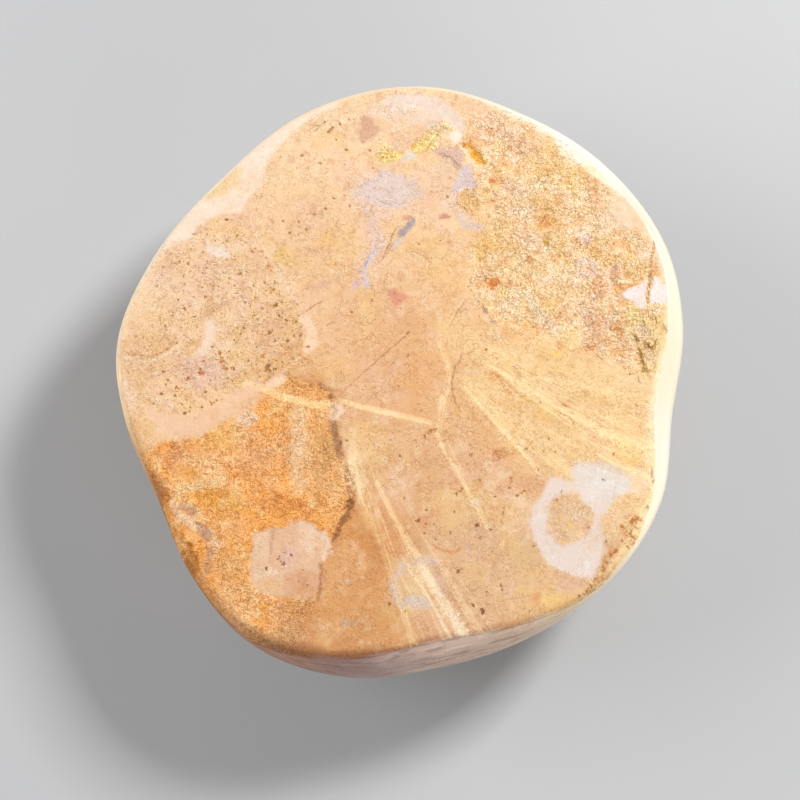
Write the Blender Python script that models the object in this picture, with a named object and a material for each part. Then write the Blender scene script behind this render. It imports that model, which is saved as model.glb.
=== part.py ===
"""Polished fossil sea biscuit: one stone, lying on the crown of its dome with its sawn base up.

The row frame is metres, +Z up, with the origin on the resting plane under the middle of the
box around the rim. Sizes below are millimetres and angles are degrees, counter-clockwise
from +X as seen from above. MM turns a size into metres.
"""
import bpy
import numpy as np
from mathutils import Vector, noise

MM = 0.001

# The whole stone
THICKNESS = 26.0
CROWN_CUT = 0.9                 # how much of the dome's crown is ground away to the resting flat
DOME_FULLNESS = (2.2, 2.0)      # powers of the dome's section, across and up: 2, 2 is an ellipse
ROLLING = 0.25                  # slow waves left in the polished dome

# The widest line of the rim seen from above: angle, distance from the middle
RIM = (
    (10, 53.3), (27, 55.6), (48, 56.5), (66, 56.2), (84, 56.9), (108, 54.5), (132, 50.6),
    (156, 51.1), (176, 52.6), (192, 51.3), (210, 50.5), (226, 54.0), (243, 57.6), (260, 57.5),
    (277, 55.3), (294, 54.7), (315, 54.6), (332, 53.4), (350, 50.6),
)
# The rounded margin from the widest line up to the sawn face: angle, width, drop
MARGIN = (
    (0, 3.9, 4.6), (22, 2.6, 3.6), (45, 2.8, 3.6), (62, 1.6, 2.6), (90, 0.9, 1.6),
    (120, 0.9, 1.6), (150, 1.0, 1.8), (180, 1.2, 2.4), (205, 1.2, 2.6), (225, 1.0, 3.2),
    (245, 1.6, 4.0), (262, 3.0, 5.0), (280, 3.6, 5.5), (295, 2.4, 4.5), (310, 1.1, 3.0),
    (325, 1.9, 3.6), (342, 3.4, 4.4),
)
MARGIN_BEND = 66.0              # how far the margin has turned over when it meets the sawn face

# The five petals on the dome point at the five corners of the rim
PETAL_FIRST = 32.0
PETAL_COUNT = 5
PETAL_START = 9.0
PETAL_END = 39.0
PETAL_HALF_WIDTH = 7.6
PETAL_SWELL = 1.2
PORE_BAND_WIDTH = 2.6
PORE_BAND_DEPTH = 0.45

# How finely the round surfaces are faceted
SEGMENTS = 120
MARGIN_RINGS = 4
DOME_RINGS = 18
DOME_END = 78.0                 # section angle of the innermost ring, inside the resting flat

# The rough hollow: broken stone left of a ledge, open over the rim at the lower left
HOLLOW_EDGE = (
    (-20.6, -3.0), (-15.5, -3.4), (-12.6, -4.8), (-12.2, -8.5), (-12.0, -12.7), (-10.9, -16.7),
    (-9.9, -20.6), (-8.6, -23.8), (-9.3, -27.3), (-10.9, -31.4), (-13.4, -36.6), (-14.6, -43.4),
    (-16.5, -50.5), (-20.0, -57.0), (-34.0, -54.0), (-43.0, -43.0), (-49.0, -30.0),
    (-49.5, -19.0), (-43.0, -14.2), (-36.1, -13.1), (-32.0, -11.2), (-26.6, -7.4), (-24.0, -4.2),
)
LEDGE_X = -10.5                 # where the ledge runs, on average
HOLLOW_DEPTH = 1.0              # at the foot of the ledge
HOLLOW_SHALLOW = 0.3            # far from the ledge
HOLLOW_REACH = 26.0             # distance over which it grows shallow
HOLLOW_LUMPS = 0.16

# The granular ground: coarse weathered stone at the upper right, just below the sawn face
GRANULAR_EDGE = (
    (11.8, 47.0), (12.4, 40.5), (12.6, 32.0), (12.2, 24.0), (12.0, 16.0), (14.4, 9.6),
    (21.0, 5.4), (29.2, 3.6), (37.0, -0.4), (45.0, -4.4), (48.0, 0.6), (49.6, 9.0),
    (48.2, 17.0), (45.2, 25.0), (39.6, 33.0), (32.8, 38.8), (26.0, 43.2), (18.0, 47.6),
)
GRANULAR_DEPTH = 0.42
GRANULAR_LIP = 0.08             # depth right at its edge
GRANULAR_RISE = 4.0             # power with which the bed rises to the lip
GRANULAR_LUMPS = 0.3

LUMP_SIZE = 4.2                 # across one lump of a rough floor
FLOOR_RINGS = 9
POINTS_PER_SPAN = 3             # points between two named points of a recess edge

# Single pits and cavities: centre x, y, half length, half width, depth, turn of the length
PITS = (
    (14.0, 42.4, 2.3, 1.35, 3.0, -48),      # the deep cavity near the far rim
    (12.7, 44.1, 1.1, 0.9, 1.8, 0),
    (44.3, 2.2, 2.1, 1.4, 1.9, -55),        # the dark cluster by the right margin
    (46.4, 5.2, 1.6, 1.1, 1.5, 20),
    (42.3, 5.2, 1.5, 1.1, 1.3, 50),
    (40.2, 7.2, 1.4, 0.9, 1.1, -35),
    (44.6, -1.4, 1.1, 0.9, 1.1, 0),
    (-37.2, -36.6, 2.9, 1.0, 1.5, -62),     # a long pit in the hollow, close to the rim
    (12.9, 32.2, 2.7, 2.4, 0.9, 20),        # the rough round patch left of the granular ground
    (-1.6, 41.6, 2.6, 1.0, 0.6, 8),         # the crust near the far rim, three hollows
    (3.4, 43.6, 2.3, 1.3, 0.8, 35),
    (6.2, 46.2, 1.6, 1.0, 0.6, 55),
    (-36.4, -1.7, 0.75, 0.75, 0.8, 0),      # round borings on the left
    (-40.7, -4.4, 0.7, 0.5, 0.7, 60),
    (-38.9, -2.6, 0.6, 0.5, 0.6, 0),
    (21.5, -46.1, 0.7, 0.65, 0.7, 0),       # round borings near the near rim
    (14.4, -39.5, 0.55, 0.5, 0.6, 0),
    (12.5, -30.8, 0.6, 0.55, 0.6, 0),
    (-36.7, 34.5, 1.5, 0.9, 1.2, 45),       # the nick in the rim at the upper left
)
PIT_SEGMENTS = 10
PIT_RINGS = 6


def remove_everything():
    for item in list(bpy.data.objects):
        bpy.data.objects.remove(item, do_unlink=True)


def round_curve(rows, angle):
    """Smooth closed curve through rows of (degrees, value, ...), read at angles in radians.

    Between two rows each value follows a cubic whose slopes come from the neighbouring rows.
    """
    knots = np.radians([row[0] for row in rows])
    knots = np.concatenate([knots - 2 * np.pi, knots, knots + 2 * np.pi])
    angle = np.mod(angle, 2 * np.pi)
    span = np.searchsorted(knots, angle, side="right") - 1
    width = knots[span + 1] - knots[span]
    t = (angle - knots[span]) / width
    curves = []
    for column in range(1, len(rows[0])):
        value = np.tile([float(row[column]) for row in rows], 3)
        slope = np.gradient(value, knots)
        curves.append(
            (2 * t**3 - 3 * t**2 + 1) * value[span]
            + (t**3 - 2 * t**2 + t) * width * slope[span]
            + (3 * t**2 - 2 * t**3) * value[span + 1]
            + (t**3 - t**2) * width * slope[span + 1]
        )
    return curves


def smooth_loop(points, steps):
    """Closed Catmull-Rom curve through the points, with steps points to a span."""
    loop = np.array(points, dtype=float)
    before, after = np.roll(loop, 1, axis=0), np.roll(loop, -1, axis=0)
    beyond = np.roll(loop, -2, axis=0)
    curve = []
    for step in range(steps):
        t = step / steps
        curve.append(0.5 * (
            2 * loop
            + (after - before) * t
            + (2 * before - 5 * loop + 4 * after - beyond) * t**2
            + (3 * loop - before - 3 * after + beyond) * t**3
        ))
    return np.stack(curve, axis=1).reshape(-1, 2)


def lumps(x, y, size, seed):
    """Smooth random height between about -1 and 1, the same each time."""
    return noise.noise(Vector((x / size, y / size, seed)))


def margin_ring(angle, share):
    """Ring on the rounded margin: share 0 is the widest line, 1 the edge of the sawn face."""
    radius = round_curve(RIM, angle)[0]
    width, drop = round_curve(MARGIN, angle)
    bend = np.radians(MARGIN_BEND)
    turn = share * bend
    inward = radius - width * (1 - np.cos(turn)) / (1 - np.cos(bend))
    height = THICKNESS - drop + drop * np.sin(turn) / np.sin(bend)
    return inward, height


def petal_relief(x, y):
    """How far the dome bulges outward at (x, y): swollen petals edged by sunken pore bands."""
    relief = np.zeros_like(x)
    for petal in range(PETAL_COUNT):
        heading = np.radians(PETAL_FIRST + petal * 360.0 / PETAL_COUNT)
        along = x * np.cos(heading) + y * np.sin(heading)
        across = np.abs(y * np.cos(heading) - x * np.sin(heading))
        share = np.clip((along - PETAL_START) / (PETAL_END - PETAL_START), 0.0, 1.0)
        half_width = PETAL_HALF_WIDTH * np.sin(np.pi * share**0.8) ** 0.7
        inside = np.clip(1.0 - across / np.maximum(half_width, 0.01), 0.0, 1.0)
        fade = np.sin(np.pi * share) ** 0.5
        band = np.clip(1.0 - np.abs(across - half_width) / PORE_BAND_WIDTH, 0.0, 1.0)
        relief += PETAL_SWELL * fade * (1 - (1 - inside) ** 2) - PORE_BAND_DEPTH * fade * band
    return relief


def dome_ring(angle, share):
    """Ring under the dome: share 0 is the widest line, 1 lies inside the resting flat."""
    radius = round_curve(RIM, angle)[0]
    drop = round_curve(MARGIN, angle)[1]
    turn = np.radians(DOME_END) * share
    inward = radius * np.cos(turn) ** (2 / DOME_FULLNESS[0])
    side = THICKNESS - drop
    height = side - (side + CROWN_CUT) * np.sin(turn) ** (2 / DOME_FULLNESS[1])
    x, y = inward * np.cos(angle), inward * np.sin(angle)
    waves = np.array([lumps(px, py, 17.0, 3.0) for px, py in zip(x, y)])
    height -= petal_relief(x, y) + ROLLING * waves * np.sin(2 * turn)
    return inward, np.maximum(height, 0.0)


def mesh_object(name, points, faces):
    mesh = bpy.data.meshes.new(name)
    mesh.from_pydata([tuple(point) for point in np.asarray(points) * MM], [], faces)
    mesh.validate()
    made = bpy.data.objects.new(name, mesh)
    bpy.context.collection.objects.link(made)
    return made


def bridge(first, second, count):
    """Quads between two rings of count points, whose first points are first and second."""
    return [
        (first + i, first + (i + 1) % count, second + (i + 1) % count, second + i)
        for i in range(count)
    ]


def stone_body():
    """Closed loft: sawn face, rounded margin, dome and the flat ground on its crown."""
    angle = np.linspace(0.0, 2 * np.pi, SEGMENTS, endpoint=False)
    rings = [margin_ring(angle, 1 - i / MARGIN_RINGS) for i in range(MARGIN_RINGS + 1)]
    rings += [dome_ring(angle, (i + 1) / DOME_RINGS) for i in range(DOME_RINGS)]
    points = np.concatenate([
        np.stack([inward * np.cos(angle), inward * np.sin(angle), height], axis=1)
        for inward, height in rings
    ])
    faces = [tuple(range(SEGMENTS))]
    for ring in range(len(rings) - 1):
        faces += bridge((ring + 1) * SEGMENTS, ring * SEGMENTS, SEGMENTS)
    last = (len(rings) - 1) * SEGMENTS
    faces.append(tuple(last + i for i in reversed(range(SEGMENTS))))
    low, high = points.min(axis=0), points.max(axis=0)
    points[:, :2] -= (low[:2] + high[:2]) / 2
    return mesh_object("fossil_urchin", points, faces)


def hollow_floor(x, y, share):
    """Deepest at the foot of the ledge, growing shallow to the left of it."""
    away = np.clip((LEDGE_X - x) / HOLLOW_REACH, 0.0, 1.0)
    depth = HOLLOW_DEPTH + (HOLLOW_SHALLOW - HOLLOW_DEPTH) * away
    return THICKNESS - depth + HOLLOW_LUMPS * lumps(x, y, LUMP_SIZE, 11.0)


def granular_floor(x, y, share):
    """A coarse bed a little below the sawn face, which rises towards its edge at share 1."""
    bed = 1 - share**GRANULAR_RISE
    depth = GRANULAR_LIP + (GRANULAR_DEPTH - GRANULAR_LIP) * bed
    return THICKNESS - depth + GRANULAR_LUMPS * bed * lumps(x, y, LUMP_SIZE, 23.0)


def make_cutter(cutter, body):
    cutter.hide_render = True
    cutter.display_type = "WIRE"
    cut = body.modifiers.new(cutter.name, "BOOLEAN")
    cut.operation = "DIFFERENCE"
    cut.solver = "EXACT"
    cut.object = cutter


def cut_recess(body, name, edge, floor):
    """Cut away what lies inside the edge and above the floor, with an upright wall."""
    loop = smooth_loop(edge, POINTS_PER_SPAN)
    count = len(loop)
    middle = loop.mean(axis=0)
    points = [(x, y, THICKNESS + 2.0) for x, y in loop]
    faces = [tuple(range(count))]
    for ring in range(FLOOR_RINGS):
        share = 1 - ring / FLOOR_RINGS
        points += [(x, y, floor(x, y, share)) for x, y in middle + (loop - middle) * share]
        faces += bridge((ring + 1) * count, ring * count, count)
    points.append((middle[0], middle[1], floor(middle[0], middle[1], 0.0)))
    last = FLOOR_RINGS * count
    faces += [(last + (i + 1) % count, last + i, len(points) - 1) for i in range(count)]
    area = 0.5 * sum(
        loop[i][0] * loop[i - 1][1] - loop[i - 1][0] * loop[i][1] for i in range(count)
    )
    if area > 0:
        faces = [tuple(reversed(face)) for face in faces]
    make_cutter(mesh_object(name, points, faces), body)


def cut_pits(body):
    """Each pit is the lower half of an egg-shaped cutter centred on the sawn face."""
    for number, (x, y, half_length, half_width, depth, turn) in enumerate(PITS):
        points = [(0.0, 0.0, 1.0)]
        for ring in range(1, PIT_RINGS):
            tilt = np.pi * ring / PIT_RINGS
            for step in range(PIT_SEGMENTS):
                spin = 2 * np.pi * (step + 0.5 * (ring % 2)) / PIT_SEGMENTS
                points.append((np.sin(tilt) * np.cos(spin), np.sin(tilt) * np.sin(spin),
                               np.cos(tilt)))
        points.append((0.0, 0.0, -1.0))
        faces = [(0, 1 + i, 1 + (i + 1) % PIT_SEGMENTS) for i in range(PIT_SEGMENTS)]
        for ring in range(PIT_RINGS - 2):
            faces += bridge(1 + (ring + 1) * PIT_SEGMENTS, 1 + ring * PIT_SEGMENTS,
                            PIT_SEGMENTS)
        last = 1 + (PIT_RINGS - 2) * PIT_SEGMENTS
        faces += [(last + (i + 1) % PIT_SEGMENTS, last + i, len(points) - 1)
                  for i in range(PIT_SEGMENTS)]
        egg = np.array(points) * (half_length, half_width, depth)
        heading = np.radians(turn)
        placed = np.stack([
            x + egg[:, 0] * np.cos(heading) - egg[:, 1] * np.sin(heading),
            y + egg[:, 0] * np.sin(heading) + egg[:, 1] * np.cos(heading),
            THICKNESS + 0.05 + egg[:, 2],
        ], axis=1)
        make_cutter(mesh_object(f"pit_{number:02d}", placed, faces), body)


def stone_material():
    material = bpy.data.materials.new("sandy_limestone")
    material.use_nodes = True
    shader = material.node_tree.nodes["Principled BSDF"]
    shader.inputs["Base Color"].default_value = (0.84, 0.57, 0.31, 1.0)
    shader.inputs["Roughness"].default_value = 0.75
    shader.inputs["Metallic"].default_value = 0.0
    return material


def main():
    remove_everything()
    stone = stone_body()
    stone.data.materials.append(stone_material())
    stone.data.shade_smooth()
    stone.data.set_sharp_from_angle(angle=np.radians(30))
    cut_recess(stone, "hollow_cutter", HOLLOW_EDGE, hollow_floor)
    cut_recess(stone, "granular_cutter", GRANULAR_EDGE, granular_floor)
    cut_pits(stone)


main()
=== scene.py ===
"""The look of a polished fossil sea biscuit that lies on its dome, with its sawn base up.

One stone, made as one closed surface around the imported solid. Sizes in the constants are
millimetres and angles are degrees, counter-clockwise from +X as seen from above. Outlines
and routes are runs of x,y pairs.
"""

import bpy
import numpy as np
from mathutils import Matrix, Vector


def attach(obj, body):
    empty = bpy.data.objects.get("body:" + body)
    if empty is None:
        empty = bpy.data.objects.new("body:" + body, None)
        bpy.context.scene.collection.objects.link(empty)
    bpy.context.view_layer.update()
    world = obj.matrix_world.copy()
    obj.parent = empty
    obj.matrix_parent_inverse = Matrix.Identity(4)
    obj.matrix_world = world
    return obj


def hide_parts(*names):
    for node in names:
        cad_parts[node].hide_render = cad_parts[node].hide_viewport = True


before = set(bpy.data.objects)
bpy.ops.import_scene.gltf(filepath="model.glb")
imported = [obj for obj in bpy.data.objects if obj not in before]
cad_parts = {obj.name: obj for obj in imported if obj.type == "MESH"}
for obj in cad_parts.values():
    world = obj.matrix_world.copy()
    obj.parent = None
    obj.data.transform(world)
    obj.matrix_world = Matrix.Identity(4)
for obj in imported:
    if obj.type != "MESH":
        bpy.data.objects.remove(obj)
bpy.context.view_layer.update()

MM = 0.001

# ---------- view and light

SENSOR, LENS = 36.0, 98.9       # width and focal length
CAMERA_AWAY = 0.40              # metres from the point it looks at
CAMERA_TILT = 72.0              # how far it looks down
CAMERA_AIM = (-0.0002, -0.0068, 0.026)
LIT_SHARE = 0.79                # reflectance of the stone against its brightness in this light
SKY = 0.28                      # strength of the even light from all round
FLOOR_HALF = 2.0                # metres from the middle to each edge
WHITE = (1.0, 1.0, 1.0)

# ---------- the whole stone

THICKNESS = 26.0
CROWN_CUT = 0.9                 # ground away from the dome's crown, which leaves the resting flat
DOME_ACROSS, DOME_UP = 2.2, 2.0  # powers of the dome's section
ROLLING = 0.25                  # slow waves left in the polished dome

# The widest line of the rim seen from above: angle, distance from the middle
RIM = (
    (10, 53.3), (27, 55.6), (48, 56.5), (66, 56.2), (84, 56.9), (108, 54.5), (132, 50.6), (156, 51.1),
    (176, 52.6), (192, 51.3), (210, 50.5), (226, 54), (243, 57.6), (260, 57.5), (277, 55.3), (294, 54.7),
    (315, 54.6), (332, 53.4), (350, 50.6),
)
# The rounded margin from the widest line up to the sawn face: angle, width, drop
MARGIN = (
    (0, 3.9, 4.6), (22, 2.6, 3.6), (45, 2.8, 3.6), (62, 1.6, 2.6), (90, 0.9, 1.6), (120, 0.9, 1.6),
    (150, 1, 1.8), (180, 1.2, 2.4), (205, 1.2, 2.6), (225, 1, 3.2), (245, 1.6, 4), (262, 3, 5),
    (280, 3.6, 5.5), (295, 2.4, 4.5), (310, 1.1, 3), (325, 1.9, 3.6), (342, 3.4, 4.4),
)
MARGIN_BEND = 66.0              # how far its section turns over

# Petals of the dome, and the pore bands along their edges
PETAL_FIRST, PETAL_COUNT = 32.0, 5
PETAL_START, PETAL_END, PETAL_HALF_WIDTH = 9.0, 39.0, 7.6
PETAL_SWELL = 1.2
PORE_BAND_WIDTH, PORE_BAND_DEPTH = 2.6, 0.45

# Cells of the fine mesh: across the sawn face, and across the underside
FACE_CELLS = 264
DOME_CELLS = FACE_CELLS // 2
MARGIN_SHARES = (0.94, 0.78, 0.55, 0.28, 0.0)   # places of the rings up the margin
UPPER_SIDE_TURNS = (4.0, 9.0)           # section angles of the rings with full count
LOWER_SIDE_TURNS = (14.0, 20.0, 26.0, 33.0)     # and of those with half of it
DISC_TURN = 40.0                        # where the underside's disc begins

# ---------- relief of the face

# The ledge beside the hollow, and the rest of the hollow's edge
LEDGE = (
    -21.2,-2.2, -18.5,-2.8, -15.2,-3.5, -13.3,-4.7, -12.2,-6.6, -12.2,-10.4, -11.4,-13.5, -10.7,-16.3,
    -9.9,-19.1, -9,-21.6, -8.5,-24.2, -9,-27.1, -9.9,-29.7, -11.6,-33, -14,-37.4, -14.7,-40.4, -15,-44.3,
)
HOLLOW_REST = (
    -17.5,-50.5, -22,-55, -33,-52, -42,-42, -48,-30, -49,-19, -43,-14.2, -36.1,-13.1, -32,-11.2, -26.6,-7.4,
    -24,-3.8,
)
LEDGE_X = -10.5
# Depth at the ledge, depth far from it, and how far that is
HOLLOW_DEPTH, HOLLOW_SHALLOW, HOLLOW_REACH = 0.48, 0.3, 26.0
HOLLOW_LUMPS, HOLLOW_CRUMBS = 0.16, 0.20
ISLAND_DEPTH = 0.20             # of the shell patch that stands in the hollow
LEDGE_WALL, SOFT_WALL = 0.62, 2.8       # width of the wall at the ledge and far from it
LEDGE_FADE = (-32.0, -38.0)             # the ledge loses its height between these two y

# Lower, lumpy ground at the upper right
GRANULAR = (
    11.5,47.5, 12.5,43, 13,37.5, 10.6,35.4, 9.8,33, 11.2,30.8, 14.5,28.4, 14.5,25.5, 12,22, 12,15, 14.5,10,
    19,6, 29,3.6, 37,0, 44.5,-4.4, 49.5,-6, 52,1, 52.5,10, 50.5,20, 46,29, 40,36, 33,42, 26,47.5, 18,52,
)
GRANULAR_DEPTH, GRANULAR_FADE = 0.42, 5.0       # its edge slopes down over the second
GRANULAR_LUMPS = 0.24
LUMP_SIZE = 4.2                 # of the lumps here and in the hollow
FACE_DEPTH = 0.03               # of the smooth sand below the plane of the rim's edge
# Broken ground by the right rim, with deep gaps between its lumps
RUBBLE = (
    40.4,9.4, 42.6,11.2, 45.2,9.9, 48.6,9.2, 49.6,6.3, 48.3,3, 46.4,0.4, 45.4,-2.6, 43.7,-1, 43.1,2.8,
    41.6,5, 39.6,6.4,
)
RUBBLE_DEPTH = 0.5

# Pits: colour, centre x, y, half length, half width, depth, turn of the length
PITS = (
    ((256,186,68), 14.1,41.9, 2.1,1.25, 1, -45), ((206,126,56), 12,43.6, 1.1,0.5, 0.5, -40),
    ((226,150,66), 13.3,43.4, 0.7,0.45, 0.6, 20), ((188,120,50), -37,-36.8, 2.9,1.1, 0.6, -72),
    ((252,208,110), -1.6,41.8, 2.4,0.8, 0.2, 8), ((250,200,96), 3.6,43.8, 2.3,1, 0.3, 35),
    ((178,118,54), -24.6,-0.8, 1.1,0.55, 0.4, 60),
)
# Sand with small borings
PITTED = (
    -46,14, -44,22, -36,25.5, -28,26, -23,19, -18.5,10.5, -16.5,3, -20,-3, -28,-4.5, -36,-8, -45,-9,
    -50.5,-3, -50,6,
)
PITTED_MOST, PITTED_REACH = (-24.0, 5.0), 15.0   # where its borings crowd together

# ---------- markings
# Colours are the display values of red, green and blue, 0 to 255.

PATH_STEPS = 4                  # steps of a smooth outline or route between two of its points
FAR = 50.0                      # stands for any distance past the reach of a marking
PATCH_REACH, MARK_REACH = 4.0, 3.0

# Broad ground tones of the sand: colour, centre x, y, reach
TONES = (
    ((252,214,172), -8,42, 15), ((242,197,151), -10,20, 11), ((236,182,134), -1,3, 11),
    ((233,182,134), 4,-19, 10), ((248,207,151), 30,-6, 12), ((248,207,153), 42,-14, 8),
    ((226,180,141), 15,-36, 11), ((226,184,146), 24,-44, 8), ((222,150,88), -8,-35, 7.5),
    ((221,162,106), -5,-49, 9), ((250,208,164), -30,10, 12), ((250,203,154), -45,2, 7),
    ((252,213,174), -42,18, 7), ((252,214,162), 24,30, 14), ((240,190,132), 34,12, 8),
    ((242,182,120), 20,22, 6), ((247,214,170), 40,28, 8), ((232,170,112), -20,-1, 6),
)

# Sections through shell: colour, softness of the edge, outline
SHELL = (
    ((252,229,207), 0.6, (-44.9,22.6, -43.4,23.4, -41.6,24.2, -39.7,25, -38.6,26.2, -38.1,27.6, -36.7,28.6,
    -35.2,29.4, -33.5,30, -31.7,30.2, -30.2,30.4, -29.3,32, -28.4,33.7, -26.9,35.5, -26.2,37.5, -25.5,40,
    -24,42.5, -22.2,44.9, -19.5,47.8, -16.2,50.3, -12.4,52, -12.8,53.5, -17.3,51.4, -21.5,48.7, -25.2,45.8,
    -28.5,42.9, -30.4,39.6, -31.6,37.5, -32.9,35.5, -34.4,33.9, -36.2,33, -37.3,32, -39.1,30.2, -41.3,27.8,
    -43.1,25.4)),
    ((238,219,207), 0.6, (26.4,-22.3, 27.9,-21.7, 29.7,-22.3, 31.4,-22.3, 32.9,-23.1, 34.3,-23.8,
    35.7,-24.5, 36.7,-26, 36.7,-27.9, 35.8,-28.8, 35.5,-30.8, 36,-34, 35.4,-36.7, 34.6,-38.5, 33.9,-39.6,
    32.1,-39.8, 30.3,-39.3, 28.6,-38.7, 26.8,-37.6, 25.4,-36, 24.4,-34.1, 23.7,-32.3, 23.2,-30.5,
    23.4,-28.3, 24.2,-26.4, 25.1,-25.1, 25.8,-23.8)),
    ((234,221,210), 0.8, (30.8,-20.8, 31.3,-19.3, 32.6,-18.7, 34.4,-18.7, 36.2,-18.9, 37.8,-19.3,
    39.3,-20.1, 40.5,-21.2, 41.2,-22.5, 40.6,-23.8, 39.5,-24.7, 38.4,-25.8, 37.3,-26.8, 36,-26.2,
    34.9,-26.8, 34.2,-25.3, 33.2,-23.8, 31.8,-22.3)),
    ((246,229,222), 0.2, (41,14, 42.4,15, 44.2,15.8, 45.6,16.6, 45.3,14.6, 45.2,12.6, 45,11, 44.1,11.2,
    42.8,12.6, 41.6,13.2)),
    ((250,233,226), 0.25, (46.5,15.6, 47.1,16.8, 48,16.4, 48.8,15, 49.3,13.6, 48.5,12, 47.1,12.2, 45.9,11.6,
    46,13.4)),
    ((234,190,154), 0.3, (-26.6,-31.9, -24.8,-31.4, -23.1,-30.8, -21.1,-30.8, -19.5,-29.9, -17.5,-29.5,
    -16.1,-30.1, -15.2,-31.2, -13.8,-31.8, -12.5,-33, -12.7,-34.5, -13.2,-36.3, -14.4,-37.1, -14.4,-38.9,
    -14.2,-40.4, -14.7,-42.2, -16.1,-43.3, -18.6,-43.4, -21.4,-43.1, -24.3,-42.9, -25.7,-41.8, -26.6,-40.4,
    -26.8,-38.5, -26.5,-36, -26.2,-34)),
    ((247,204,168), 0.7, (-46,-8.3, -45.2,-10.2, -44.1,-12.1, -42.6,-13.8, -40.9,-14.2, -38.2,-13.7,
    -35.9,-12.9, -33.8,-11.4, -32,-10.2, -29.6,-8.3, -27.9,-6.4, -26.1,-4.9, -25.4,-3.7, -27.6,-4.1,
    -29.4,-5.3, -31.5,-6, -33.3,-7.6, -34.7,-8.7, -36.5,-9.9, -38.3,-10.6, -40.5,-10, -42.9,-9.7,
    -44.7,-9.1)),
    ((241,218,201), 0.7, (-3.2,53.5, -1,54.1, 1.7,54.3, 4.4,54.1, 6.5,53.7, 8.2,52.6, 9.9,51.2, 11.4,49.7,
    12.1,48.1, 11.7,46.8, 10.6,47.2, 9.3,48.3, 7.8,49.3, 6.3,50.1, 4.7,51, 2.7,51.6, 0.2,51.8, -2.1,52)),
    ((253,232,214), 0.35, (9.3,46.2, 10,46.8, 11.2,46.6, 11.3,45.4, 10.8,44.5, 9.6,44.7, 9.1,45.4)),
    ((236,216,196), 0.4, (0.2,41.2, 0.7,42.1, 1.9,42.5, 2.8,41.8, 2.6,41, 0.6,40.6)),
    ((249,225,206), 0.7, (-36.3,23, -35,23.4, -33.5,22.8, -32.2,22.2, -32,21.2, -33.3,21.2, -34.8,21.6,
    -35.9,22.2)),
    ((252,215,182), 0.4, (-18.6,9.1, -17.5,9.5, -16.6,9.1, -15.8,7.1, -15.1,4.8, -15.2,3.8, -17.1,2.1,
    -17.8,2.8, -17.5,4.8, -17.7,7.1, -18.6,8.3)),
    ((251,214,180), 0.5, (-24.6,-3.7, -23.6,-2.8, -22.1,-2, -21,-2.2, -21.6,-3.3, -23,-4.3, -24.3,-4.5)),
    ((247,214,180), 0.9, (39.5,31.4, 41.4,33, 43.7,33.9, 45,31.8, 45.8,29, 46.5,27, 44.6,26.2, 42.4,27.4,
    40.2,29)),
    ((254,243,214), 0.5, (32.3,44.1, 33.8,42.9, 35.7,41.6, 37.5,40, 39.7,38.4, 42.3,35.5, 44.4,32.6,
    43.3,32, 41.1,34.1, 38.5,36.1, 36.3,37.7, 34.5,39.8, 33,41.8)),
    ((249,220,199), 0.75, (-35.7,8.3, -34.8,8.7, -34.2,7.1, -34.4,5.2, -34.7,3.4, -35.8,2.3, -36.8,1.5,
    -37.6,2.1, -36.7,3.6, -36,5.8)),
    ((250,219,188), 0.35, (-12.9,-8.5, -12,-7.8, -10.9,-7.9, -10.6,-9.1, -11.5,-10.2, -12.4,-10.6,
    -13.1,-9.9)),
)

# The hole of the ring-shaped section, where the sand shows through
RING_HOLE = (
    28.5,-24.5, 30,-24.2, 31.8,-24.5, 32.8,-25.7, 33.8,-26.8, 34.9,-28.3, 34.5,-29.7, 33.7,-31.6,
    32.4,-32.3, 31,-33.4, 29.5,-34.3, 28.1,-34.1, 26.9,-32.7, 26.2,-30.8, 26.1,-28.6, 26.5,-26.8,
    27.2,-25.5,
)
SQUARE_PATCH = 5                # the shell patch that stands as an island in the hollow

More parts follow.
